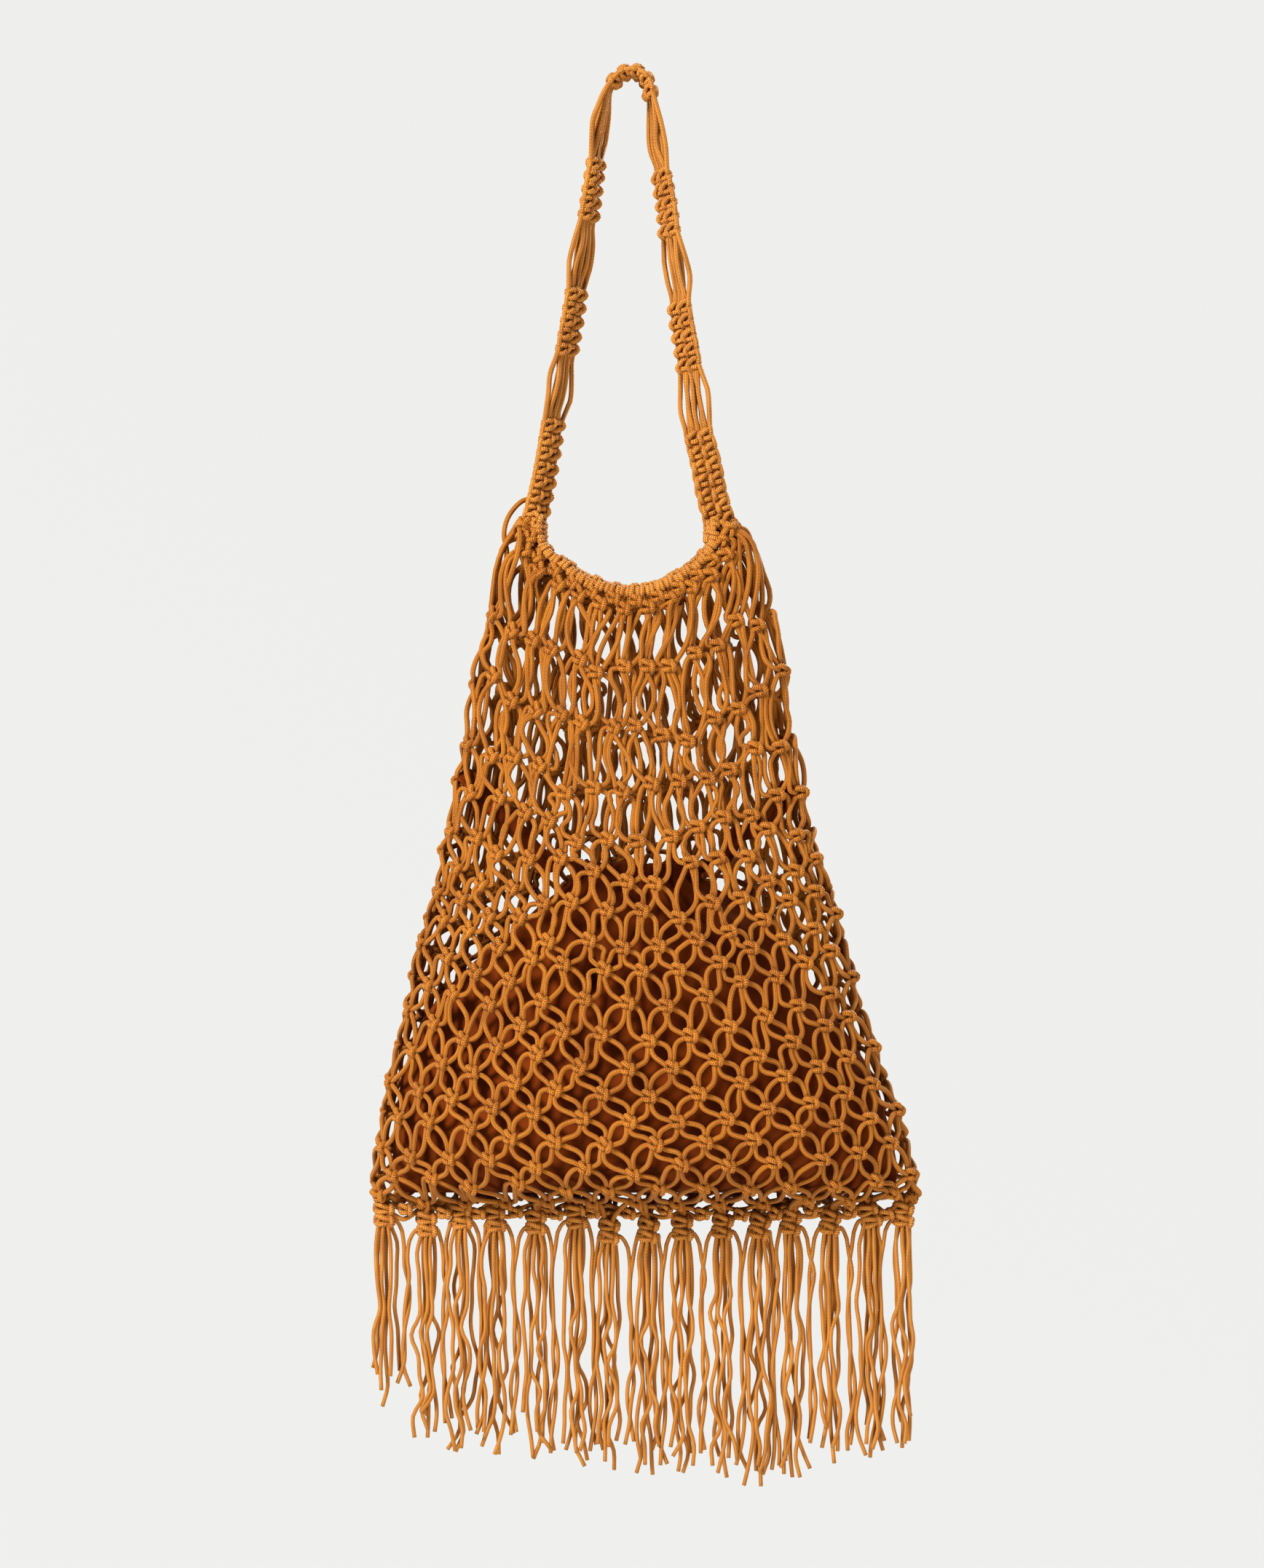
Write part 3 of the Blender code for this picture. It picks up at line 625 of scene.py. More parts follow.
# The net's outline in shares of the bag's height and width: down, left, right.
NET_EDGES = (
    (0.300, -0.176, 0.158), (0.314, -0.200, 0.184), (0.325, -0.222, 0.210),
    (0.347, -0.239, 0.231), (0.370, -0.252, 0.247), (0.401, -0.273, 0.263),
    (0.431, -0.287, 0.282), (0.462, -0.301, 0.293), (0.493, -0.316, 0.308),
    (0.523, -0.332, 0.324), (0.554, -0.348, 0.346), (0.585, -0.366, 0.369),
    (0.615, -0.390, 0.391), (0.646, -0.404, 0.409), (0.677, -0.423, 0.437),
    (0.708, -0.441, 0.465), (0.738, -0.457, 0.492), (0.764, -0.470, 0.512),
    (0.789, -0.475, 0.520),
)
# How far its front stands out, in shares of the bag's height and depth: down, out.
NET_DEPTH = (
    (0.32, 0.03), (0.37, 0.08), (0.45, 0.13), (0.52, 0.21), (0.56, 0.28),
    (0.60, 0.36), (0.65, 0.44), (0.70, 0.49), (0.735, 0.50), (0.755, 0.46),
    (0.770, 0.38), (0.780, 0.27), (0.786, 0.14), (0.7895, 0.00),
)
# The two tight rows under the rim: how far they are below its middle line, and their size.
RIM_ROWS = ((0.0008, 0.92), (0.0052, 1.00))
# Rows of knots: drop at the middle and how much higher the row is at the sides, both in mm.
KNOT_ROWS = (
    (302.2, 37), (306.5, 37), (341.9, 35), (376.3, 34), (409.5, 34), (438.9, 34),
    (462.4, 34), (482.2, 34), (499.0, 34), (515.3, 34), (532.6, 34), (550.2, 33),
    (567.8, 30), (583.0, 26), (597.7, 21), (611.1, 16), (624.5, 10), (636.5, 4), (646.5, 0),
)
KNOTS_AROUND = 26
# Where a row's first knot stands, in knots; how much lower the back's free rows hang; how fast
# a row rises towards the sides; and how far a cord may pass the outline.
PHASE = 0.25
BACK_LOWER = 0.006
SAG_POWER = 1.8
EDGE_SPARE = 0.0018
# From this row on the mesh is close and even. Above it the knots stray more, row by row, and
# the last rows over the seam stray a little too, all in mm.
FIRST_CLOSE_ROW = 13
LAST_EVEN_ROW = 15
ROW_STRAY = 0.9
FREE_STRAY = 3.6
SEAM_STRAY = 0.8
# One knot in ten is a tenth larger.
BIG_SHARE = 0.10
BIG_SIZE = 1.10
# The loops beside a knot: how far a cord swings out, and less so in the first and last rows.
LOOP_SWING = 0.0058
EDGE_SWING = 0.0045


def table(rows, x, column=1):
    """A table's column, read at x."""
    return np.interp(x, [r[0] for r in rows], [r[column] for r in rows])


def on_net(column, drop, sag):
    """A point of the net from its column round the bag and its row's drop and sag."""
    turn = np.mod(column, KNOTS_AROUND)
    half_way = KNOTS_AROUND / 2
    ahead = turn <= half_way
    across = np.where(ahead, 2 * turn / half_way - 1, 3 - 2 * turn / half_way)
    down = drop / HEIGHT
    for _ in range(6):
        left, right = WIDTH * table(NET_EDGES, down, 1), WIDTH * table(NET_EDGES, down, 2)
        crowd = 0.05 + 2 * table(NET_DEPTH, down)
        share = np.clip(np.sin(crowd * across) / np.sin(crowd), -1, 1)
        down = (drop - sag * np.abs(share) ** SAG_POWER) / HEIGHT
    full = (1 - np.abs(share) ** FULL) ** ROUND
    y = DEPTH * table(NET_DEPTH, down) * full + NET_OUT * (1 - np.abs(share) ** 10)
    x = (left + right) / 2 + (right - left) / 2 * share
    return np.stack([x, np.where(ahead, -y, y), -HEIGHT * down], axis=-1)


def knot_frames():
    """Each knot's place, directions and size: rows of KNOTS_AROUND knots."""
    places, rights, ups, outs, sizes = [], [], [], [], []
    for i, (drop, sag) in enumerate(KNOT_ROWS):
        column = np.arange(KNOTS_AROUND) + PHASE + 0.5 * (i % 2)
        if i < len(RIM_ROWS):
            column = column + chance.normal(0, 0.02, KNOTS_AROUND)
            here, right, up, out = on_rim(column / KNOTS_AROUND * rim_run[-1])
            below = RIM_ROWS[i][0] + chance.normal(0, 0.0004, KNOTS_AROUND)
            here = here - below[:, None] * up + (0.0012 + 0.0004 * i) * out
            size = RIM_ROWS[i][1]
        else:
            free = max(0.0, 1 - i / FIRST_CLOSE_ROW)
            column = column + chance.normal(0, 0.035 + 0.06 * free, KNOTS_AROUND)
            stray = ROW_STRAY + FREE_STRAY * free + (SEAM_STRAY if i > LAST_EVEN_ROW else 0)
            low = MM * (drop + chance.normal(0, stray, KNOTS_AROUND))
            behind = np.sin(np.clip(column / KNOTS_AROUND * 2 - 1, 0, 1) * np.pi)
            low = low + BACK_LOWER * behind * free
            here = on_net(column, low, sag * MM)
            right = unit(on_net(column + 0.3, low, sag * MM) - on_net(column - 0.3, low, sag * MM))
            up = unit(on_net(column, low - 0.003, sag * MM) - on_net(column, low + 0.003, sag * MM))
            out = unit(np.cross(right, up))
            size = 1.0
        lean = chance.normal(-0.06, 0.14, (KNOTS_AROUND, 1))
        right = unit(right + lean * np.cross(out, right))
        places.append(here)
        rights.append(right)
        outs.append(out)
        ups.append(np.cross(out, right))
        big = np.where(chance.random(KNOTS_AROUND) < BIG_SHARE, BIG_SIZE, 1.0)
        sizes.append((size * big * chance.normal(1.0, 0.04, KNOTS_AROUND))[:, None])
    return [np.array(part) for part in (places, rights, ups, outs, sizes)]


knot_at, knot_right, knot_up, knot_out, knot_size = knot_frames()


def in_knot(row, index, x, y, z):
    """A place of each of a row's knots, from its shares of the knot unit."""
    k = np.mod(index, KNOTS_AROUND)
    size = KNOT_UNIT * knot_size[row, k]
    return (knot_at[row, k] + x * size * knot_right[row, k]
            + y * size * knot_out[row, k] + z * 1.08 * size * knot_up[row, k])


def way_out(row, index, side, works, up):
    """The direction in which a cord leaves a knot: sideways if it ties it, else straight."""
    k = np.mod(index, KNOTS_AROUND)
    if works:
        return unit(0.95 * side * knot_right[row, k] + 0.30 * up * knot_up[row, k])
    return up * knot_up[row, k] + 0.10 * side * knot_right[row, k]


def net_cords(side, parity):
    """Control points of 26 cords that tie the knots of every second row, on one side."""
    shape = LEFT_WORKING if side < 0 else RIGHT_WORKING
    own = np.arange(KNOTS_AROUND)
    other = own + (parity - 1 if side < 0 else parity)
    points, per = [], []

    def add(place, radius, samples):
        """One more point of every cord, and the samples on the stretch that follows."""
        points.append(np.concatenate([place, np.full((KNOTS_AROUND, 1), radius)], axis=1))
        per.append(samples)

    for row in range(len(KNOT_ROWS)):
        works = row % 2 == parity
        index = own if works else other
        gap = MM * (KNOT_ROWS[row][0] - KNOT_ROWS[row - 1][0]) if row else 0.0
        if row == 0:
            for z in (3.2, 1.7):
                add(in_knot(row, index, side * (1.4 if works else -0.5), -0.8, z), CORD * 0.48, 1)
        elif row >= len(RIM_ROWS):
            start = points[-1][:, :3]
            end = in_knot(row, index, side * 1.9, 0.3, 0.75) if works else \
                in_knot(row, index, -side * 0.5, 0.1, 1.5)
            leave = way_out(row - 1, other if works else own, side, not works, -1)
            enter = way_out(row, index, side, works, 1)
            chord = np.linalg.norm(end - start, axis=1, keepdims=True)
            sideways = np.minimum(0.48 * chord, LOOP_SWING if 2 < row < 17 else EDGE_SWING)
            near = start + leave * (0.46 * chord if works else sideways)
            far = end + enter * (sideways if works else 0.46 * chord)
            stray = 0.00015 + 0.075 * max(0.0, gap - 0.012)
            bow, wave, lift = chance.normal(0, stray, (3, KNOTS_AROUND, 1))
            k = np.mod(index, KNOTS_AROUND)
            for t in (0.15, 0.36, 0.60, 0.84):
                s = 1 - t
                spot = s ** 3 * start + 3 * s * s * t * near + 3 * s * t * t * far + t ** 3 * end
                sway = bow * math.sin(math.pi * t) + wave * math.sin(2 * math.pi * t)
                spot = spot + sway * knot_right[row, k]
                spot = spot + 0.6 * lift * math.sin(math.pi * t) * knot_out[row, k]
                left = WIDTH * table(NET_EDGES, -spot[:, 2] / HEIGHT, 1) - EDGE_SPARE
                right = WIDTH * table(NET_EDGES, -spot[:, 2] / HEIGHT, 2) + EDGE_SPARE
                spot[:, 0] = np.clip(spot[:, 0], left, right)
                add(spot, CORD * 0.5, 2 if gap < 0.02 else 3)
        if works:
            for x, y, z, samples in shape:
                add(in_knot(row, index, x, y, z), CORD * (0.55 if y > 1.0 else 0.47), samples)
            per[-1] = 2
        else:
            for z in (0.9, -0.9):
                add(in_knot(row, index, -side * 0.5, 0.0, z), CORD * 0.44, 1)
            if row >= len(RIM_ROWS) - 1:
                add(in_knot(row, index, -side * 0.5, 0.1, -1.5), CORD * 0.5, 2)
    return np.stack(points, axis=1), per


# Tassel heads: across, down to the head's middle, down to the fringe end, as shares. All but
# the outermost two hang lower by HEAD_DROP.
TASSEL_AT = (
    (-0.446, 0.7985, 0.934), (-0.372, 0.7985, 0.956), (-0.307, 0.7985, 0.966),
    (-0.240, 0.7985, 0.968), (-0.170, 0.7985, 0.971), (-0.102, 0.7985, 0.976),
    (-0.036, 0.7985, 0.979), (0.031, 0.7985, 0.982), (0.098, 0.7985, 0.981),
    (0.165, 0.7985, 0.984), (0.230, 0.7985, 0.990), (0.294, 0.7985, 0.984),
    (0.360, 0.7985, 0.974), (0.427, 0.7985, 0.970), (0.489, 0.7985, 0.963),
)
HEAD_H = 0.0140
HEAD_DROP = 0.0050
# Each piece of the net: its first cord in every batch, and the one after its last.
NET_PIECES = {
    "net_front_left": (0, 7), "net_front_right": (7, 13),
    "net_back_left": (20, 26), "net_back_right": (13, 20),
}

batches = [net_cords(side, parity) for side in (-1, 1) for parity in (0, 1)]
ends = np.concatenate([points[:, -1, 0] for points, per in batches])
order = np.argsort(np.argsort(ends))
to_head = (order * len(TASSEL_AT)) // len(ends)
head_x = np.array([WIDTH * row[0] for row in TASSEL_AT])
head_z = np.array([-HEIGHT * row[1] for row in TASSEL_AT])
head_z[1:-1] -= HEAD_DROP + chance.normal(0, 0.0022, len(TASSEL_AT) - 2)
head_x[1:-1] += chance.normal(0, 0.0010, len(TASSEL_AT) - 2)
net_cords_of = {name: [] for name in NET_PIECES}
for b, (points, per) in enumerate(batches):
    heads = to_head[b * KNOTS_AROUND:(b + 1) * KNOTS_AROUND]
    last = points[:, -1, :3]
    for t, low in ((0.70, 0.75), (1.0, 0.1)):
        x = head_x[heads] + chance.normal(0, 0.0016, KNOTS_AROUND)
        y = (1 - t) * last[:, 1] + chance.normal(0, 0.0012, KNOTS_AROUND)
        z = head_z[heads] + HEAD_H * low
        place = np.stack([last[:, 0] + t * (x - last[:, 0]), y, z], axis=1)
        end = np.concatenate([place, np.full((KNOTS_AROUND, 1), CORD * 0.48)], axis=1)
        points = np.concatenate([points, end[:, None]], axis=1)
        per = per + [3]
    cords = flowing(points, per[:points.shape[1] - 1])
    for name, (first, stop) in NET_PIECES.items():
        net_cords_of[name].append(cords[first:stop])
for name, parts in net_cords_of.items():
    piece = cord_piece(name, parts, 7, shaded_net_cord)
    panel = "net_front" if "front" in name else "net_back"
    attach(piece, "root")
    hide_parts(panel)

# The pouch: a soft bag of brown cotton twill inside the net, filled out at the bottom and
# gathered to a narrow neck by a drawstring, with a frill that stands up above it.
# Its outline, bottom to top, in shares of the bag's sizes: down, left, right, half depth.
POUCH = (
    (0.7832, -0.422, 0.466, 0.020), (0.7780, -0.428, 0.476, 0.165),
    (0.762, -0.432, 0.478, 0.358), (0.738, -0.430, 0.465, 0.462),
    (0.700, -0.415, 0.438, 0.455), (0.668, -0.388, 0.386, 0.415),
    (0.645, -0.352, 0.338, 0.370), (0.620, -0.286, 0.312, 0.315),
    (0.598, -0.215, 0.268, 0.255), (0.580, -0.165, 0.205, 0.195),
    (0.568, -0.122, 0.150, 0.140), (0.5605, -0.100, 0.128, 0.110),
    (0.5520, -0.118, 0.150, 0.145),
)
POUCH_SIDES = 176
POUCH_LEVELS = 92
POUCH_CLOTH = 0.0011
# How deep the broad gathers, the fine ones at the neck and the belly's ripples are.
BROAD_FOLD = 0.0078
FINE_FOLD = 0.0034
BELLY_RIPPLE = 0.0010
TWILL_BROWN = (0.235, 0.060, 0.0095)
TWILL_SHADE = (0.095, 0.019, 0.0028)
TWILL_SHEEN = (1.0, 0.50, 0.22)
TWILL_PITCH = 0.0011
# Deep places: across, up, half width, half height, depth, all in mm; front only.
POUCH_PITS = ((-22, -516, 3.0, 11, 15), (8, -477, 6.0, 8, 13), (-6, -468, 2.5, 7, 7),
              (33, -480, 3.5, 12, 7), (-52, -530, 4.0, 16, 6), (62, -512, 4.0, 15, 6))


def twill_cloth(name, colour, shade):
    """Brushed cotton twill: fine slanted ribs on the cloth's own UV map, and soft mottling."""
    made = bpy.data.materials.new(name)
    made.use_nodes = True
    tree = made.node_tree
    shader = tree.nodes["Principled BSDF"]
    uv = node(tree, "ShaderNodeUVMap", uv_map="on_cloth")
    parts = node(tree, "ShaderNodeSeparateXYZ")
    tree.links.new(uv.outputs[0], parts.inputs[0])
    slope = arithmetic(tree, "ADD", parts.outputs[0], parts.outputs[1])
    ribs = arithmetic(tree, "SINE", arithmetic(tree, "MULTIPLY", slope, 2 * math.pi / TWILL_PITCH))
    ribs = arithmetic(tree, "ADD", arithmetic(tree, "MULTIPLY", ribs, 0.5), 0.5)
    share = arithmetic(tree, "ADD", arithmetic(tree, "MULTIPLY", ribs, 0.30),
                       arithmetic(tree, "MULTIPLY", mottled(tree, 28, 5), 1.05))
    tree.links.new(blend_colours(tree, share, shade, colour), shader.inputs["Base Color"])
    shader.inputs["Roughness"].default_value = 0.92
    shader.inputs["Sheen Weight"].default_value = 0.08
    shader.inputs["Sheen Tint"].default_value = (*TWILL_SHEEN, 1)
    shader.inputs["Specular IOR Level"].default_value = 0.15
    bump = node(tree, "ShaderNodeBump")
    bump.inputs["Strength"].default_value = 0.6
    bump.inputs["Distance"].default_value = 0.0006
    creases = arithmetic(tree, "MULTIPLY", mottled(tree, 90, 4), 3.5)
    tree.links.new(arithmetic(tree, "ADD", arithmetic(tree, "MULTIPLY", ribs, 0.35), creases),
                   bump.inputs["Height"])
    tree.links.new(bump.outputs[0], shader.inputs["Normal"])
    return made


def cloth_piece(name, grid, closed, thick, finish):
    """A sheet over a grid of points (levels, around, xyz), with a UV map in metres."""
    levels, around = grid.shape[:2]
    wide = around if closed else around - 1
    faces = [(i * around + j, i * around + (j + 1) % around,
              (i + 1) * around + (j + 1) % around, (i + 1) * around + j)
             for i in range(levels - 1) for j in range(wide)]
    mesh = bpy.data.meshes.new(name)
    mesh.from_pydata(grid.reshape(-1, 3).tolist(), [], faces)
    mesh.polygons.foreach_set("use_smooth", [True] * len(faces))
    step_v = np.linalg.norm(np.diff(grid, axis=0), axis=2).mean(axis=1)
    v = np.concatenate([[0], np.cumsum(step_v)])
    step_u = np.linalg.norm(np.diff(grid, axis=1), axis=2).mean(axis=0)
    u = np.concatenate([[0], np.cumsum(step_u)])
    u = np.append(u, u[-1] + step_u.mean())
    layer = mesh.uv_layers.new(name="on_cloth")
    uvs = [(u[j + dj], v[i + di]) for i in range(levels - 1) for j in range(wide)
           for di, dj in ((0, 0), (0, 1), (1, 1), (1, 0))]
    layer.data.foreach_set("uv", np.array(uvs, np.float32).ravel())
    mesh.materials.append(finish)
    piece = bpy.data.objects.new(name, mesh)
    bpy.context.scene.collection.objects.link(piece)
    bpy.ops.object.select_all(action="DESELECT")
    piece.select_set(True)
    bpy.context.view_layer.objects.active = piece
    shell = piece.modifiers.new("thickness", "SOLIDIFY")
    shell.thickness = thick
    shell.offset = -1
    bpy.ops.object.modifier_apply(modifier="thickness")
    return piece


def pouch_grid():
    """The pouch's outside: rings of points from the bottom up to the frill's edge."""
    level = np.linspace(0, 1, POUCH_LEVELS)
    downs = np.array([row[0] for row in POUCH])
    key = (downs[0] - downs) / (downs[0] - downs[-1])
    spread = np.concatenate([[0], np.cumsum(np.sqrt(np.diff(key) ** 2 + 0.002))])
    at = np.interp(level, spread / spread[-1], key)
    left, right, deep = [np.interp(at, key, [row[c] for row in POUCH]) for c in (1, 2, 3)]
    down = downs[0] - at * (downs[0] - downs[-1])
    for _ in range(2):
        left[2:-6] = (left[1:-7] + 2 * left[2:-6] + left[3:-5]) / 4
        right[2:-6] = (right[1:-7] + 2 * right[2:-6] + right[3:-5]) / 4
    a = 2 * np.pi * np.arange(POUCH_SIDES) / POUCH_SIDES
    share = -np.cos(a)[None]
    front = np.where(np.sin(a) >= 0, -1.0, 1.0)[None]
    full = (1 - np.abs(share) ** FULL) ** ROUND
    x = WIDTH * ((left + right)[:, None] / 2 + (right - left)[:, None] / 2 * share)
    y = front * DEPTH * deep[:, None] * full
    z = -HEIGHT * down[:, None] + 0 * x
    neck = np.clip((at[:, None] - 0.30) / 0.62, 0, 1)
    wander = a[None] + 0.22 * np.sin(3 * a[None] + 1.1)
    wander = wander + 0.10 * np.sin(5 * at[:, None] + 4 * a[None])
    broad = 0.5 - 0.5 * np.cos(11 * wander + 3.0 * at[:, None])
    fine = 0.5 - 0.5 * np.cos(27 * wander + 2.0 * np.sin(2 * a[None]))
    ripple = 0.5 - 0.5 * np.sin(17 * x / WIDTH + 9 * z / WIDTH + 2 * np.sin(5 * a[None]))
    inward = (BROAD_FOLD * broad ** 1.5 * neck * (1 - 0.35 * neck) + FINE_FOLD * fine * neck ** 3
              + BELLY_RIPPLE * ripple * np.clip(at[:, None] * 6, 0, 1) * (1 - neck))
    mid_x, reach = (left + right)[:, None] / 2 * WIDTH, (right - left)[:, None] / 2 * WIDTH
    normal_x = (x - mid_x) / np.maximum(reach, 1e-4)
    normal_y = y / np.maximum(DEPTH * deep[:, None], 1e-4)
    size = np.sqrt(normal_x ** 2 * 0.3 + normal_y ** 2) + 1e-6
    x = x - inward * normal_x * 0.3 / size
    y = y - inward * normal_y / size
    for px, pz, w, h, depth in POUCH_PITS:
        pit = np.exp(-((x / MM - px) / w) ** 2 - ((z / MM - pz) / h) ** 2)
        y = y + np.where(y < 0, 1, 0) * MM * depth * pit * np.clip(-y / 0.012, 0, 1)
    frill = np.clip((at[:, None] - 0.955) / 0.045, 0, 1)
    z = z + frill * (0.0016 * np.sin(9 * a[None] + 1.0) + 0.0011 * np.sin(21 * a[None]))
    y = y + frill * 0.0022 * np.sin(19 * a[None]) * front
    return np.stack([x, y, z], axis=2)


twill = twill_cloth("brown_twill", TWILL_BROWN, TWILL_SHADE)
pouch_points = pouch_grid()
pouch = cloth_piece("pouch_cloth", pouch_points, True, POUCH_CLOTH, twill)
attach(pouch, "root")
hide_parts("pouch")

# The pouch's ties: a flat strip of the same twill on each side, sewn into the neck and led up
# to the net's side. Both turn a little about their own line on the way.
TIE_W = 0.0102
TIE_CLOTH = 0.0010
# Turn of each strip about its own line, in degrees, from one end to the other.
TWIST_LEFT = (20, 5, -10, -25, -10)
TWIST_RIGHT = (60, 20, -30, -15, 10)
TIE_LEFT = (
    (-0.0990, 0.002, -0.4010), (-0.0938, 0.000, -0.4045), (-0.0820, -0.006, -0.4190),
    (-0.0660, -0.008, -0.4340), (-0.0520, -0.006, -0.4490), (-0.0391, -0.002, -0.4560),
)
TIE_RIGHT = (
    (0.0530, -0.001, -0.4540), (0.0560, -0.005, -0.4460), (0.0590, -0.009, -0.4380),
    (0.0720, -0.008, -0.4330), (0.0845, -0.003, -0.4200), (0.0912, 0.000, -0.4080),
)


def strip_grid(line, wide, twist, waves):
    """A strip of cloth along a line, turned by twist degrees, with soft lengthways waves."""
    path = flowing(np.array(line), [9] * (len(line) - 1))
    ahead = unit(np.gradient(path, axis=0))
    t = np.linspace(0, 1, len(path))
    angle = np.radians(np.interp(t, np.linspace(0, 1, len(twist)), twist))[:, None]
    flat = unit(np.cross(ahead, (0.0, 1.0, 0.0)))
    face = np.cross(flat, ahead)
    across = np.cos(angle) * flat + np.sin(angle) * face
    out = np.cross(across, ahead)
    s = np.linspace(-1, 1, 11)
    ripple = 0.0007 * np.sin(2.6 * s[None] + waves * 2 * np.pi * t[:, None]) \
        + 0.0004 * np.sin(6 * s[None] - waves * 9 * t[:, None])
    return (path[:, None] + wide / 2 * s[None, :, None] * across[:, None]
            + ripple[..., None] * out[:, None])


for name, line, twist in (("pouch_tie_left", TIE_LEFT, TWIST_LEFT),
                          ("pouch_tie_right", TIE_RIGHT, TWIST_RIGHT)):
    grid = strip_grid(line, TIE_W, twist, 1.4)
    tie = cloth_piece(name + "_strip", grid, False, TIE_CLOTH, twill)
    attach(tie, "root")
    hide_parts(name)

# The tassels: fifteen heads of two square knots each, tied round the cords that leave the
# net's seam. Six cords hang in a lock, and the two that tied the head arch out beside it.
LOCK_CORDS = 6
LOCK_W = 0.0125
LOCK_D = 0.0060
FRINGE_CORD = 0.0024
# Length between two points of a hanging cord, how far the heads lean in degrees, and the
# heights of the seam's cords and of the small knots on it.
WAVE_STEP = 0.011
HEAD_LEAN = 11
SEAM_Z = -0.6525
SEAM_KNOT_Z = -0.6540
FORWARD = np.array((0.0, -1.0, 0.0))


def wavy(centre, deep, top, tip, sway):
    """One loose cord that hangs from top to tip along a line of centres, swaying as it goes."""
    count = max(5, int((top - tip) / WAVE_STEP))
    start, slow, quick = chance.uniform(0, 2 * math.pi, 3)
    pace = chance.uniform(0.040, 0.075)
    points = []
    for j in range(count + 1):
        drop = j / count * (top - tip)
        grow = min(1.0, 0.15 + drop / 0.05)
        side = sway * grow * (math.sin(2 * math.pi * drop / pace + start)
                              + 0.5 * math.sin(2 * math.pi * drop / (0.47 * pace) + quick))
        back = 0.7 * sway * grow * math.sin(2 * math.pi * drop / (1.3 * pace) + slow)
        points.append((centre + side, deep + back, top - drop, FRINGE_CORD / 2))
    flick = chance.normal(0, 0.0022)
    points[-1] = (points[-1][0] + flick, *points[-1][1:])
    return points


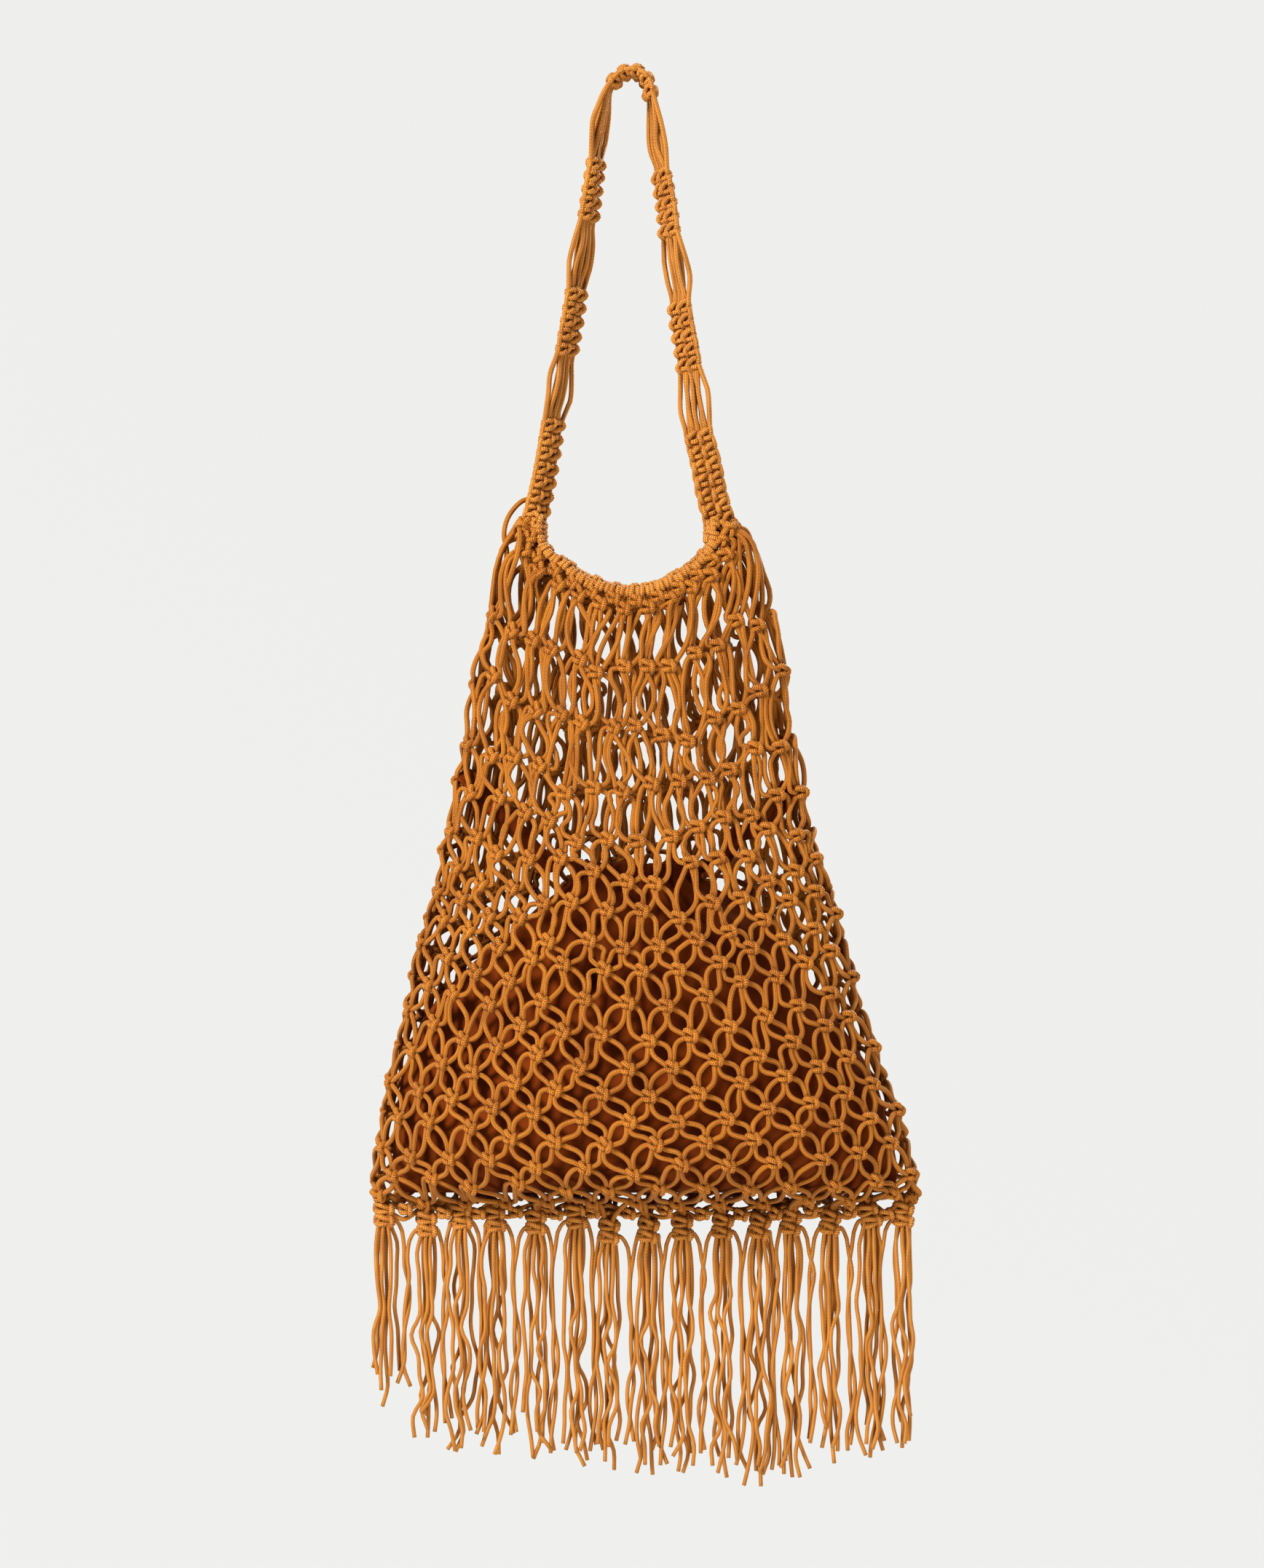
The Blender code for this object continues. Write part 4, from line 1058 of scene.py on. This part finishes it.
strands, head_places, seam_places = [], [], []
for i, (across, down, end) in enumerate(TASSEL_AT):
    x0, z0, low = head_x[i], head_z[i], -HEIGHT * end
    lean = math.radians(chance.normal(0, HEAD_LEAN))
    right = np.array((math.cos(lean), 0.0, math.sin(lean)))
    up = np.array((-math.sin(lean), 0.0, math.cos(lean)))
    for high in (0.25, -0.25):
        head_places.append((np.array((x0, 0.0, z0)) + high * HEAD_H * up, right, FORWARD, up))
    for s in range(LOCK_CORDS):
        slot = (s + 0.5) / LOCK_CORDS * 2 - 1
        deep = (1 if s % 2 else -1) * LOCK_D / 2
        tip = low + (abs(chance.normal(0, 0.011)) if s != LOCK_CORDS // 2 else 0.0)
        hang = wavy(x0 + slot * LOCK_W / 2 * chance.uniform(0.6, 1.35), deep,
                    z0 - 0.45 * HEAD_H - 0.010, tip, chance.uniform(0.0008, 0.0026))
        collar = [(x0 + slot * 0.0032, deep * 0.5, z0, FRINGE_CORD / 2),
                  (x0 + slot * 0.0042, deep * 0.7, z0 - 0.45 * HEAD_H, FRINGE_CORD / 2)]
        strands.append(flowing(np.array(collar + hang), [3] * (len(hang) + 1))[None])
    if i + 1 == len(TASSEL_AT):
        continue
    # The cord that tied this head and the one that tied the next meet and hang as a pair.
    meet = (x0 + head_x[i + 1]) / 2 + chance.normal(0, 0.0015)
    tips = max(low, -HEIGHT * TASSEL_AT[i + 1][2]) + abs(chance.normal(0, 0.008))
    twist = chance.uniform(0, 2 * math.pi)
    pace = chance.uniform(0.05, 0.08)
    for x, z, side in ((x0, z0, 1), (head_x[i + 1], head_z[i + 1], -1)):
        reach = meet - x
        hang = [(x + side * 0.0030, -0.0020, z - 0.0045, FRINGE_CORD / 2),
                (x + side * 0.0058, -0.0010, z - 0.0030, FRINGE_CORD / 2),
                (x + 0.70 * reach, 0.0, z - 0.0060, FRINGE_CORD / 2),
                (x + 0.92 * reach, 0.0, z - 0.0180, FRINGE_CORD / 2)]
        top, tip = z - 0.030, tips + abs(chance.normal(0, 0.004))
        count = int((top - tip) / WAVE_STEP)
        for j in range(count + 1):
            drop = j / count * (top - tip)
            turn = twist + 2 * math.pi * drop / pace
            apart = 0.0012 + 0.0008 * math.sin(0.6 * turn + 1.0)
            hang.append((meet + 0.0012 * math.sin(0.8 * turn) - side * apart * math.cos(turn),
                         side * apart * math.sin(turn), top - drop, FRINGE_CORD / 2))
        hang[-1] = (hang[-1][0] + side * abs(chance.normal(0, 0.0020)), *hang[-1][1:])
        strands.append(flowing(np.array(hang), [3] * (len(hang) - 1))[None])
    # Between two heads a small knot holds the front and the back of the seam together.
    spot = np.array(((x0 + head_x[i + 1]) / 2, -0.0015, SEAM_KNOT_Z + chance.normal(0, 0.0012)))
    seam_places.append((spot, right, FORWARD, up))
heads = lone_knots(head_places, 1.62 * KNOT_UNIT, 1.25 * KNOT_UNIT, 1.08 * KNOT_UNIT, CORD * 0.52)
heads += lone_knots(seam_places, KNOT_UNIT, KNOT_UNIT, KNOT_UNIT, CORD * 0.48)
# Two cords run along the seam, in front of each other by turns, and dip between the heads.
for lift, phase in ((0.0022, 0.0), (-0.0016, 2.2)):
    stops = np.linspace(head_x[0], head_x[-1], 4 * len(head_x) - 3)
    step = np.arange(len(stops))
    dip = 0.5 - 0.5 * np.cos(step * math.pi / 2)
    seam = np.stack([stops, 0.0015 * np.sin(step * 1.7 + phase),
                     SEAM_Z + lift - 0.0030 * dip + chance.normal(0, 0.0007, len(stops)),
                     0 * stops + CORD * 0.46], axis=1)
    heads.append(flowing(seam, [4] * (len(stops) - 1))[None])
knotted = cord_piece("tassel_heads", heads, 8, lit_caramel_cord)
locks = cord_piece("tassel_cords", strands, 7, lit_caramel_cord)
for piece in (knotted, locks):
    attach(piece, "root")
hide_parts(*[f"tassel_{i + 1:02d}" for i in range(len(TASSEL_AT))])
